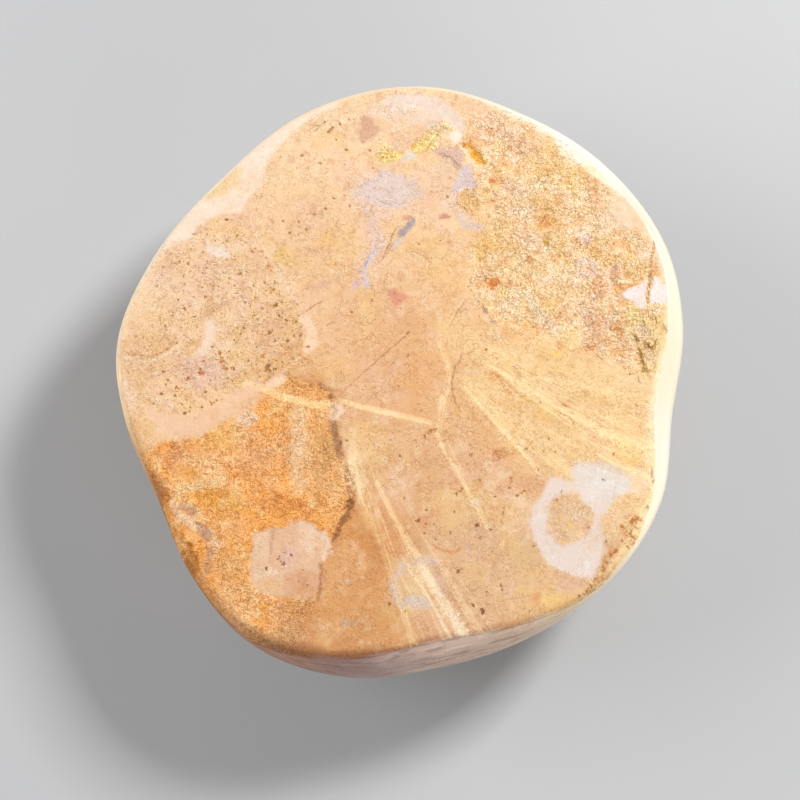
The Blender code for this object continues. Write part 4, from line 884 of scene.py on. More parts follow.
def clouded(x, y, colour):
    """The colours with the soft ovals laid over them in turn: each falls off smoothly from
    its centre, with its edge bent and its body mottled by random fields."""
    bend = [1.3 * layered(x, y, 3.4, seed) for seed in (501, 511)]
    mottle = 1 + 0.45 * layered(x, y, 1.5, 521, 2)
    for tint, strength, cx, cy, long, wide, turn in CLOUDS:
        heading = np.radians(turn)
        dx, dy = x - cx + bend[0], y - cy + bend[1]
        along = (dx * np.cos(heading) + dy * np.sin(heading)) / long
        across = (dy * np.cos(heading) - dx * np.sin(heading)) / wide
        share = strength * mottle * np.exp(-(along**2 + across**2) ** 1.5 * 0.8)
        colour = blend(colour, tint, share)
    return colour


def face_paint(x, y, fields):
    """Colour of the sawn face down to details of about a millimetre: sand, granular ground
    and hollow, each mottled by random fields, then the pits and the rim's border."""
    def field(size, seed, layers=3):
        return layered(x, y, size, seed, layers)

    # Sand, calmer at the lower left, and the granular ground with its rubble
    lively = 1 - 0.75 * ramp(y, -20.0, -30.0) * ramp(x, 8.0, -4.0)
    masks = {"lively": lively, "pitted": ramp(fields["borings"], 0.0, 0.25)}
    ground = mottled(x, y, ground_tone(x, y), SAND_MOTTLES, 1.0, masks)
    coarse = mottled(x, y, blend(ground, (255, 218, 170), 0.80), GRANULAR_MOTTLES)
    granular = ramp(fields["granular"], -1.5, 3.0)
    colour = ground + (1.07 * coarse - ground) * granular[:, None]
    rubble = ramp(fields["rubble"] + 0.6 * field(1.6, 221), -0.8, 1.2)
    colour = blend(colour, (247, 205, 130), 0.75 * rubble)
    colour = blend(colour, (254, 223, 160), 0.8 * rubble * ramp(field(1.8, 231, 2), -0.1, 0.5))

    # Rusty hollow, browner by the ledge, and the crumbling line along its upper edge
    rust = mottled(x, y, display((255, 188, 118)) + np.zeros(x.shape + (3,)), HOLLOW_MOTTLES)
    near_ledge = ramp(fields["from_ledge"], 8.0, 3.0) * ramp(y, -31.0, -28.0)
    rust = blend(rust, (236, 176, 112), 0.45 * near_ledge)
    hollow = ramp(fields["hollow"], -0.5, 0.7)
    hollow *= 1 - ramp(y, -34.0, -50.0) * ramp(fields["hollow"], 9.0, 1.0)
    colour = colour + (rust * (1.09, 1.03, 0.96) - colour) * hollow[:, None]
    rubble_line = ramp(np.abs(fields["hollow"] + 0.4), 2.4, 0.6) * ramp(y, -11.0, -6.0)
    rubble_line *= ramp(fields["from_ledge"], 4.0, 2.0)
    colour = blend(colour, (212, 142, 82), 0.35 * rubble_line * ramp(field(1.6, 291), -0.2, 0.3))

    # Soft ovals, the yellow pocket, the pits and the border by the rim
    colour = clouded(x, y, colour)
    pocket = ramp(fields["pocket"] + 0.4 * field(1.3, 301), -0.5, 0.5)
    colour = blend(colour, (246, 196, 136), 0.7 * pocket)
    share = (0.9 * ramp(fields["pit"], 0.0, 0.55))[:, None]
    colour = colour + (fields["pit_tint"] - colour) * share
    angle = np.arctan2(y, x)
    inset = margin_ring(angle, 1.0)[0] - np.hypot(x, y)
    # The border: its dark brown at the lower left is partly painted shade along the edge.
    *border, strength, width = round_curve(EDGE_COLOURS, angle)
    border = display(np.stack(border, axis=1))
    width = width * (1 + 0.55 * field(4.0, 321))
    share = strength * ramp(inset / width, 1.3, 0.1)
    return colour + (border - colour) * share[:, None]


# ---------- the stone's shape

def margin_ring(angle, share):
    """Ring on the rounded margin: share 0 is the widest line, 1 the edge of the sawn face.

    The section turns through MARGIN_BEND along a quarter of an ellipse."""
    radius = round_curve(RIM, angle)[0]
    width, drop = round_curve(MARGIN, angle)
    bend = np.radians(MARGIN_BEND)
    turn = share * bend
    inward = radius - width * (1 - np.cos(turn)) / (1 - np.cos(bend))
    height = THICKNESS - drop + drop * np.sin(turn) / np.sin(bend)
    return inward, height


def nearest_petal(x, y):
    """Place within the nearest petal: share of its length, distance from its axis, and half
    its width there, which follows a sine that is fullest near two thirds of its length."""
    heading = np.degrees(np.arctan2(y, x)) - PETAL_FIRST
    step = 360.0 / PETAL_COUNT
    off = np.radians(heading - step * np.round(heading / step))
    radius = np.hypot(x, y)
    share = np.clip((radius * np.cos(off) - PETAL_START) / (PETAL_END - PETAL_START), 0.0, 1.0)
    half_width = PETAL_HALF_WIDTH * np.sin(np.pi * share**0.8) ** 0.7
    return share, radius * np.sin(off), half_width


def petal_relief(x, y):
    """How far the dome bulges outward: swollen petals edged by sunken pore bands."""
    share, across, half_width = nearest_petal(x, y)
    across = np.abs(across)
    within = np.clip(1.0 - across / np.maximum(half_width, 0.01), 0.0, 1.0)
    fade = np.sin(np.pi * share) ** 0.5
    band = np.clip(1.0 - np.abs(across - half_width) / PORE_BAND_WIDTH, 0.0, 1.0)
    return PETAL_SWELL * fade * (1 - (1 - within) ** 2) - PORE_BAND_DEPTH * fade * band


def dome(angle, fraction):
    """Underside at a fraction of the rim's radius: a superellipse section down to the crown,
    less the petals' swelling, cut off flat where the stone rests."""
    radius = round_curve(RIM, angle)[0]
    side = THICKNESS - round_curve(MARGIN, angle)[1]
    inward = radius * fraction
    rise = np.clip(1 - fraction**DOME_ACROSS, 0.0, 1.0) ** (1 / DOME_UP)
    height = side - (side + CROWN_CUT) * rise
    x, y = inward * np.cos(angle), inward * np.sin(angle)
    waves = ROLLING * layered(x, y, 17.0, 3, 2) * ramp(fraction, 0.15, 0.5) * ramp(rise, 0.0, 0.4)
    return inward, np.maximum(height - petal_relief(x, y) - waves, 0.0)


def pit_field(x, y):
    """Depth of the pits, how far into them each place is, from 0 to 1, and their colours.

    A pit is half an egg, its outline bent by a random field."""
    bend = 1 + 0.42 * layered(x, y, 1.3, 51, 2)
    depth, into = np.zeros_like(x), np.zeros_like(x)
    tint = np.zeros(x.shape + (3,))
    for colour, px, py, half_length, half_width, deep, turn in PITS:
        heading = np.radians(turn)
        dx, dy = x - px, y - py
        along = dx * np.cos(heading) + dy * np.sin(heading)
        across = dy * np.cos(heading) - dx * np.sin(heading)
        reach = np.hypot(along / half_length, across / half_width) * bend
        bowl = np.sqrt(np.clip(1 - reach**2, 0.0, 1.0))
        tint[deep * bowl > depth] = display(colour)
        depth = np.maximum(depth, deep * bowl)
        into = np.maximum(into, bowl)
    return depth, into, tint


def face_relief(x, y):
    """Depth of the sawn face below its plane, with the fields that its colours follow."""
    ragged = 0.35 * layered(x, y, 3.2, 31) + 0.20 * layered(x, y, 1.1, 35, 2)
    # The hollow: a steep wall at the ledge, a crumbled floor, a flat island of shell
    hollow = inside(x, y, LEDGE + HOLLOW_REST) + ragged
    from_ledge = to_path(x, y, smooth_path(LEDGE, False), False)[0]
    wall = LEDGE_WALL + (SOFT_WALL - LEDGE_WALL) * ramp(from_ledge, 1.5, 10.0)
    away = np.clip((LEDGE_X - x) / HOLLOW_REACH, 0.0, 1.0)
    crumbs = 0.5 * layered(x, y, 2.3, 41, 2) + 0.45 * lattice(x, y, 0.98, 45)
    floor = HOLLOW_DEPTH + (HOLLOW_SHALLOW - HOLLOW_DEPTH) * away
    floor += HOLLOW_LUMPS * lattice(x, y, LUMP_SIZE, 43) - HOLLOW_CRUMBS * crumbs
    island = ramp(inside(x, y, SHELL[SQUARE_PATCH][-1]) + 0.3 * ragged, -0.5, 0.4)
    floor = floor * (1 - island) + (ISLAND_DEPTH + 0.04 * layered(x, y, 3.0, 47)) * island
    low = ramp(y, *LEDGE_FADE)
    floor *= 1 - low * (1 - ramp(hollow, 0.0, 9.0))
    floor *= 1 - 0.35 * ramp(y, -9.0, -4.0)
    depth = np.maximum(floor, 0.02) * ramp(hollow, -0.5 * wall, 0.5 * wall)

    # Granular ground that spares the shell, with gaps between the lumps of its rubble
    granular = inside(x, y, GRANULAR) + 1.6 * ragged
    bed = GRANULAR_DEPTH + GRANULAR_LUMPS * lattice(x, y, LUMP_SIZE, 61)
    bed -= 0.13 * layered(x, y, 2.2, 63, 2) + 0.07 * lattice(x, y, 0.95, 65)
    hole = inside(x, y, RING_HOLE) + ragged
    shell, shell_tint, shell_soft = patches(x, y, SHELL)
    shell = np.minimum(shell, -hole)
    spared = ramp(shell, -0.6, 0.4)
    depth += np.maximum(bed, 0.02) * ramp(granular, -0.5, GRANULAR_FADE) * (1 - 0.8 * spared)
    rubble = inside(x, y, RUBBLE) + 2.0 * ragged
    gaps = ramp(np.abs(layered(x, y, 2.7, 67, 2)), 0.24, 0.02)
    depth += RUBBLE_DEPTH * ramp(rubble, -1.0, 1.6) * (0.65 * gaps - 0.16 * crumbs)

    # Raised crust, sunken pocket, worn hole, pits, and a smooth edge by the right rim
    crust = inside(x, y, CRUST) + 0.5 * ragged
    depth += ramp(crust, -0.3, 0.8) * (0.10 - 0.14 * crumbs)
    pocket = inside(x, y, YELLOW_POCKET)
    depth += 0.25 * ramp(pocket, -0.5, 1.2)
    worn = 0.05 * ramp(hole, -0.3, 1.0) * (2.0 - 3.0 * crumbs)
    pits, into_pit, pit_tint = pit_field(x, y)
    depth = np.maximum(depth + worn, pits)
    depth += FACE_DEPTH + 0.02 * layered(x, y, 6.0, 81) + 0.015 * layered(x, y, 1.6, 83, 2)
    inset = margin_ring(np.arctan2(y, x), 1.0)[0] - np.hypot(x, y)
    depth += (FACE_DEPTH - depth) * ramp(x, 30.0, 42.0) * ramp(inset, 1.8, 0.6)
    fields = {
        "hollow": hollow, "from_ledge": from_ledge, "granular": granular, "crust": crust,
        "pit": into_pit, "pit_tint": pit_tint, "shell": shell, "shell_tint": shell_tint,
        "shell_soft": shell_soft, "pocket": pocket, "rubble": rubble,
    }
    # Markings, how crowded the borings are, and the shade under the ledge's upper end
    fields["streak"], fields["stroke"] = streaks(x, y)
    fields["spot_near"], fields["spot"], fields["spot_tint"] = spots(x, y)
    fields["stain"], fields["stain_tint"], fields["stain_soft"] = patches(x, y, STAINS_AND_SHADE)
    fields["line_near"], fields["line"], fields["line_half"], fields["line_tint"] = marks(x, y)
    crowd = np.exp(-((x - PITTED_MOST[0]) ** 2 + (y - PITTED_MOST[1]) ** 2) / PITTED_REACH**2)
    pitted = inside(x, y, PITTED) + 2.5 * ragged
    fields["borings"] = ramp(pitted, -1.5, 2.0) * (0.25 + 0.75 * crowd)
    wall_shade = ramp(np.abs(hollow - 0.25), 0.75, 0.10) * ramp(from_ledge, 1.3, 0.6)
    wall_shade *= ramp(y, -3.0, -6.0) * ramp(x, -18.0, -13.0)
    fields["shade"] = wall_shade * (1 - low) * ramp(layered(x, y, 2.6, 91), -0.5, 0.5)
    # How rough the grain is: strongest on broken ground, weakest on shell and by the rim
    rough = np.maximum.reduce([
        ramp(granular, -2.0, 4.0), 0.95 * ramp(hollow, -0.4, 0.8), 0.9 * ramp(crust, -0.4, 0.4),
        0.8 * ramp(pocket, -0.4, 0.4), 0.50 * ramp(pitted, -2.0, 2.0),
        0.30 * ramp(x - 0.4 * y, 2.0, 14.0) * ramp(y, -26.0, -14.0),
        0.20 + 0.14 * layered(x, y, 7.0, 93),
    ])
    rough += (0.22 - rough) * ramp(hole, -0.6, 0.6)
    rough *= 1 - 0.35 * np.clip(fields["streak"], 0.0, 1.0)
    rough *= 1 - 0.85 * ramp(x, 30.0, 44.0) * ramp(inset, 2.4, 0.5)
    fields["rough"] = rough * (1 - 0.72 * ramp(shell, -0.5, 0.5))
    fields["paint"] = np.concatenate([face_paint(x, y, fields), np.ones((len(x), 1))], axis=1)
    return np.maximum(depth, 0.0), fields


def polished_paint(x, y, angle, margin):
    """Colour of the polished shell from the rim to the crown: the rim's colours first, painted light
    where they pass 255, then cream with clouds of grey, lilac and tan, laid out flat as seen from the
    crown."""
    rim = display(np.stack(round_curve(RIM_COLOURS, angle), axis=1))
    colour = blend(rim, (240, 228, 212), ramp(margin, 7.0, 16.0))
    colour = mottled(x, y, colour, DOME_MOTTLES, ramp(margin, 5.0, 14.0))
    share, across, half_width = nearest_petal(x, y)
    petal = half_width - np.abs(across)
    shown = np.sin(np.pi * share) ** 0.5 * ramp(margin, 12.0, 20.0)
    colour = blend(colour, (226, 194, 152), 0.45 * shown * ramp(petal, 1.0, 2.6))
    return blend(colour, (196, 156, 112), 0.55 * shown * ramp(np.abs(petal), 1.7, 0.7))


def disc_grid(cells):
    """Square grid of cells bent into a disc: each square ring of the grid becomes a circle,
    with its points spread evenly round it. Gives the share of the radius and the angle of
    each point, the faces, and the outer points in order from -45 degrees round."""
    line = np.linspace(-1.0, 1.0, cells + 1)
    u, v = (a.ravel() for a in np.meshgrid(line, line, indexing="ij"))
    wide = np.abs(u) >= np.abs(v)
    share = np.where(wide, u, v)
    other = np.where(wide, v, u) / np.where(share == 0, 1.0, share)
    turn = np.where(wide, np.pi / 4 * other, np.pi / 2 - np.pi / 4 * other)
    angle = turn + np.where(share < 0, np.pi, 0.0)
    index = np.arange((cells + 1) ** 2).reshape(cells + 1, cells + 1)
    faces = np.stack([index[:-1, :-1], index[1:, :-1], index[1:, 1:], index[:-1, 1:]], axis=-1)
    outer = np.concatenate([
        index[-1, :-1], index[:0:-1, -1], index[0, :0:-1], index[:-1, 0],
    ])
    return np.abs(share), angle, faces.reshape(-1, 4), outer


def strip(upper, lower):
    """Quads between two closed rings with the same count, the upper one first."""
    return np.stack([upper, lower, np.roll(lower, -1), np.roll(upper, -1)], axis=1)


def halving_strip(upper, lower):
    """Triangles from a ring down to one with half its count."""
    first, middle, last = upper[0::2], upper[1::2], np.roll(upper[0::2], -1)
    beyond = np.roll(lower, -1)
    return np.concatenate([
        np.stack([first, lower, middle], axis=1),
        np.stack([middle, lower, beyond], axis=1),
        np.stack([middle, beyond, last], axis=1),
    ])


def stone_mesh():
    """The stone as one closed surface: a disc of fine cells for the sawn face, rings down
    the margin and side, and a disc of coarser cells under the dome."""
    share, angle, face_quads, face_outer = disc_grid(FACE_CELLS)
    radius = share * margin_ring(angle, 1.0)[0]
    x, y = radius * np.cos(angle), radius * np.sin(angle)
    depth, fields = face_relief(x, y)
    places = [np.stack([x, y, THICKNESS - depth], axis=1)]
    margins = [radius - margin_ring(angle, 1.0)[0]]
    quads, triangles = [face_quads], []
    total = len(x)
    previous = face_outer

    ring_angle = -np.pi / 4 + 2 * np.pi * np.arange(4 * FACE_CELLS) / (4 * FACE_CELLS)
    edge_depth = depth[face_outer]
    edge_radius = margin_ring(ring_angle, 1.0)[0]
    edge_fields = {name: values[face_outer] for name, values in fields.items()}
    rings = [(ring_angle, *margin_ring(ring_angle, step), step) for step in MARGIN_SHARES]
    for turns, turned in ((UPPER_SIDE_TURNS, ring_angle), (LOWER_SIDE_TURNS, ring_angle[::2])):
        for turn in turns:
            fraction = np.cos(np.radians(turn)) ** (2 / DOME_ACROSS)
            rings.append((turned, *dome(turned, fraction), 0.0))
    run, last = np.zeros_like(ring_angle), (edge_radius, THICKNESS - edge_depth)
    for turned, inward, height, step in rings:
        index = total + np.arange(len(turned))
        total += len(turned)
        if len(index) != len(previous):
            triangles.append(halving_strip(previous, index))
            run, last = run[::2], tuple(part[::2] for part in last)
            edge_depth = edge_depth[::2]
            edge_fields = {name: values[::2] for name, values in edge_fields.items()}
        else:
            quads.append(strip(previous, index))
        height = height - edge_depth * ramp(step, 0.0, 1.0)
        run = run + np.hypot(inward - last[0], height - last[1])
        last = (inward, height)
        places.append(np.stack([inward * np.cos(turned), inward * np.sin(turned), height], axis=1))
        margins.append(run)
        for name, values in edge_fields.items():
            fields[name] = np.concatenate([fields[name], values])
        previous = index

    share, angle, dome_quads, dome_outer = disc_grid(DOME_CELLS)
    start = np.cos(np.radians(DISC_TURN)) ** (2 / DOME_ACROSS)
    inward, height = dome(angle, share * start)
    quads.append(dome_quads[:, ::-1] + total)
    quads.append(strip(previous, dome_outer + total))
    places.append(np.stack([inward * np.cos(angle), inward * np.sin(angle), height], axis=1))
    edge_run = run + np.hypot(inward[dome_outer] - last[0], height[dome_outer] - last[1])
    order = np.argsort(ring_angle[::2] % (2 * np.pi))
    outer_run = np.interp(angle % (2 * np.pi), (ring_angle[::2] % (2 * np.pi))[order],
                          edge_run[order], period=2 * np.pi)
    margins.append(outer_run + (1 - share) * start * round_curve(RIM, angle)[0])
    for name, values in fields.items():
        rest = np.full((len(angle),) + values.shape[1:], -FAR if values.ndim == 1 else 0.0)
        fields[name] = np.concatenate([values, rest])
    for name in ("pit", "borings", "shade", "rough", "streak"):
        fields[name][-len(angle):] = 0.0

    places = np.concatenate(places)
    low, high = places.min(axis=0), places.max(axis=0)
    places[:, :2] -= (low[:2] + high[:2]) / 2
    margin = np.concatenate(margins)
    fields["margin"] = margin
    angle = np.arctan2(places[:, 1], places[:, 0])
    fields["polish"] = margin - round_curve(RAW_REACH, angle)[0]
    turned = np.degrees(angle) % 360
    fields["waxy"] = ramp(turned, 130.0, 170.0) * ramp(turned, 312.0, 290.0) * ramp(margin, 14.0, 6.0)
    share, across, half_width = nearest_petal(places[:, 0], places[:, 1])
    fields["petal"] = half_width - np.abs(across)
    fields["petal_along"] = share * (PETAL_END - PETAL_START)
    flat = margin.max() - margin
    shell_part = polished_paint(flat * np.cos(angle), flat * np.sin(angle), angle, margin)
    over = ramp(fields["polish"], -0.3, 0.0)[:, None]
    fields["paint"][:, :3] += (shell_part - fields["paint"][:, :3]) * over
    for name in SCULPTING_ONLY:
        del fields[name]

    faces = [tuple(face) for block in quads + triangles for face in block.tolist()]
    mesh = bpy.data.meshes.new("stone")
    mesh.from_pydata((places * MM).tolist(), [], faces)
    for name, values in fields.items():
        kind, part = ATTRIBUTE_KINDS[1 if values.ndim == 1 else values.shape[1]]
        mesh.attributes.new(name, kind, "POINT").data.foreach_set(part, values.ravel())
    mesh.shade_smooth()
    add_bake_map(mesh, places, fields["margin"], len(face_quads))
    return mesh


def add_bake_map(mesh, places, margin, face_count):
    """Two round islands on one map: the sawn face from above, and everything else spread
    flat from the crown outward, each place as far from the middle as it is from the crown
    along the surface."""
    angle = np.arctan2(places[:, 1], places[:, 0])
    above = places[:, :2] / (2 * MAP_REACH) * FACE_ISLAND_WIDTH + FACE_ISLAND
    reach = (margin.max() - margin) / margin.max()
    below = np.stack([np.cos(angle), np.sin(angle)], axis=1) * reach[:, None]
    below = below * REST_ISLAND_RADIUS + REST_ISLAND
    corner = np.zeros(len(mesh.loops), dtype=np.int32)
    mesh.loops.foreach_get("vertex_index", corner)
    uv = below[corner]
    uv[:4 * face_count] = above[corner[:4 * face_count]]
    mesh.uv_layers.new(name="OFBake").data.foreach_set("uv", uv.ravel())


# ---------- shader helpers

class Nodes:
    """Adds nodes to one tree: inputs that are sockets are linked, others are set."""

    def __init__(self, tree):
        self.tree = tree

    def add(self, kind, inputs, out=0, **settings):
        node = self.tree.nodes.new("ShaderNode" + kind)
        for name, value in settings.items():
            setattr(node, name, value)
        for name, value in inputs.items():
            if isinstance(value, bpy.types.NodeSocket):
                self.tree.links.new(value, node.inputs[name])
            else:
                node.inputs[name].default_value = value
        return node.outputs[out]

    def math(self, operation, first, second=0.0, clamp=False):
        return self.add("Math", {0: first, 1: second}, operation=operation, use_clamp=clamp)

    def times(self, first, second):
        return self.math("MULTIPLY", first, second)

    def plus(self, first, second):
        return self.math("ADD", first, second)

    def less(self, first, second):
        return self.math("SUBTRACT", first, second)

    def inverse(self, value):
        return self.math("SUBTRACT", 1.0, value, clamp=True)

    def vector(self, operation, first, second):
        return self.add("VectorMath", {0: first, 1: second}, operation=operation)

    def scaled(self, vector, by):
        return self.add("VectorMath", {0: vector, "Scale": by}, operation="SCALE")

    def ramp(self, value, low, high, start=0.0, end=1.0):
        return self.add("MapRange", {"Value": value, "From Min": low, "From Max": high,
                                     "To Min": start, "To Max": end},
                        interpolation_type="SMOOTHSTEP")

    def mix(self, factor, first, second):
        colours = [c if isinstance(c, bpy.types.NodeSocket) else (*display(c), 1.0)
                   for c in (first, second)]
        return self.add("Mix", {0: factor, 6: colours[0], 7: colours[1]}, out=2,
                        data_type="RGBA")

    def tinted(self, factor, colour, by):
        """The colour mixed towards itself times a number for each of red, green and blue."""
        return self.mix(factor, colour, self.vector("MULTIPLY", colour, by))

    def noise(self, place, size, detail=3.0, rough=0.55, bend=0.0):
        return self.add("TexNoise", {"Vector": place, "Scale": 1.0 / size, "Detail": detail,
                                     "Roughness": rough, "Distortion": bend})

    def cells(self, place, size, feature="F1", random=1.0):
        return self.add("TexVoronoi", {"Vector": place, "Scale": 1.0 / size,
                                       "Randomness": random}, feature=feature)

    def read(self, name, part="Fac"):
        """A value of the mesh by name: its number, its Color, its Vector or its Alpha."""
        node = self.add("Attribute", {}, attribute_name=name).node
        return node.outputs[part]

    def group(self, tree, inputs):
        return self.add("Group", inputs, node_tree=tree)


def new_group(name, inputs, outputs):
    """An empty node group: inputs are (name, kind, value), outputs are (name, kind)."""
    tree = bpy.data.node_groups.new(name, "ShaderNodeTree")
    for label, kind, value in inputs:
        socket = tree.interface.new_socket(label, in_out="INPUT", socket_type="NodeSocket" + kind)
        if value is not None:
            socket.default_value = value
    for label, kind in outputs:
        tree.interface.new_socket(label, in_out="OUTPUT", socket_type="NodeSocket" + kind)
    source = tree.nodes.new("NodeGroupInput").outputs
    target = tree.nodes.new("NodeGroupOutput").inputs
    return tree, source, target


def ragged_group():
    """Mask of a patch from its signed distance in millimetres: the edge is pushed to and fro
    by the given field, and softened over the given width."""
    tree, given, result = new_group(
        "ragged_edge",
        (("Distance", "Float", 0.0), ("Push", "Float", 0.0), ("Wobble", "Float", 0.3),
         ("Softness", "Float", 0.2)),
        (("Mask", "Float"),),
    )
    n = Nodes(tree)
    moved = n.plus(given["Distance"], n.times(given["Push"], given["Wobble"]))
    tree.links.new(n.ramp(moved, n.times(given["Softness"], -1.0), given["Softness"]),
                   result["Mask"])
    return tree


def borings_group():
    """Small round pits: in some of the cells of a random pattern, a dot about the middle."""
    tree, given, result = new_group(
        "small_borings",
        (("Place", "Vector", None), ("Size", "Float", 1.5), ("Share", "Float", 0.5),
         ("Radius", "Float", 0.25)),
        (("Mask", "Float"), ("Halo", "Float")),
    )
    n = Nodes(tree)
    place = n.scaled(given["Place"], n.math("DIVIDE", 1.0, given["Size"]))
    bend = n.add("TexNoise", {"Vector": place, "Scale": 2.2}, out=1)
    bent = n.vector("ADD", place, n.scaled(n.vector("SUBTRACT", bend, (0.5, 0.5, 0.5)), 0.7))
    away = n.cells(bent, 1.0)
    pick = n.add("SeparateColor", {0: away.node.outputs["Color"]})
    chosen = n.math("LESS_THAN", pick, given["Share"])
    size = n.times(given["Radius"], n.plus(n.times(pick.node.outputs[1], 0.8), 0.5))
    ratio = n.math("DIVIDE", away, size)
    dot = n.ramp(ratio, 1.1, 0.6)
    halo = n.ramp(ratio, 2.6, 0.9)
    tree.links.new(n.times(dot, chosen), result["Mask"])
    tree.links.new(n.times(halo, chosen), result["Halo"])
    return tree


def fan_group():
    """Grinding lines that fan out from a point: noise read in polar coordinates about it,
    fine across the headings and drawn out along them, faded between two headings and
    between two distances."""
    tree, given, result = new_group(
        "fan_of_lines",
        (("Place", "Vector", None), ("Middle", "Vector", None), ("First", "Float", -70.0),
         ("Last", "Float", -50.0), ("Near", "Float", 10.0), ("Far", "Float", 50.0)),
        (("Mask", "Float"),),
    )
    n = Nodes(tree)
    offset = n.vector("SUBTRACT", given["Place"], given["Middle"])
    parts = n.add("SeparateXYZ", {0: offset}).node.outputs
    heading = n.math("DEGREES", n.math("ARCTAN2", parts["Y"], parts["X"]))
    radius = n.add("VectorMath", {0: offset}, out=1, operation="LENGTH")
    drawn = n.add("CombineXYZ", {0: n.times(heading, 1.1), 1: n.times(radius, 0.028)})
    broad = n.noise(drawn, 2.4, 2.0, 0.5)
    fine = n.noise(drawn, 0.55, 2.0, 0.6)
    lines = n.ramp(n.plus(n.times(broad, 0.62), n.times(fine, 0.38)), 0.50, 0.66)
    fade = n.times(
        n.times(n.ramp(heading, given["First"], n.plus(given["First"], 5.0)),
                n.ramp(heading, given["Last"], n.plus(given["Last"], -5.0))),
        n.times(n.ramp(radius, given["Near"], n.plus(given["Near"], 8.0)),
                n.ramp(radius, given["Far"], n.plus(given["Far"], -6.0))))
    tree.links.new(n.times(lines, fade), result["Mask"])
    return tree


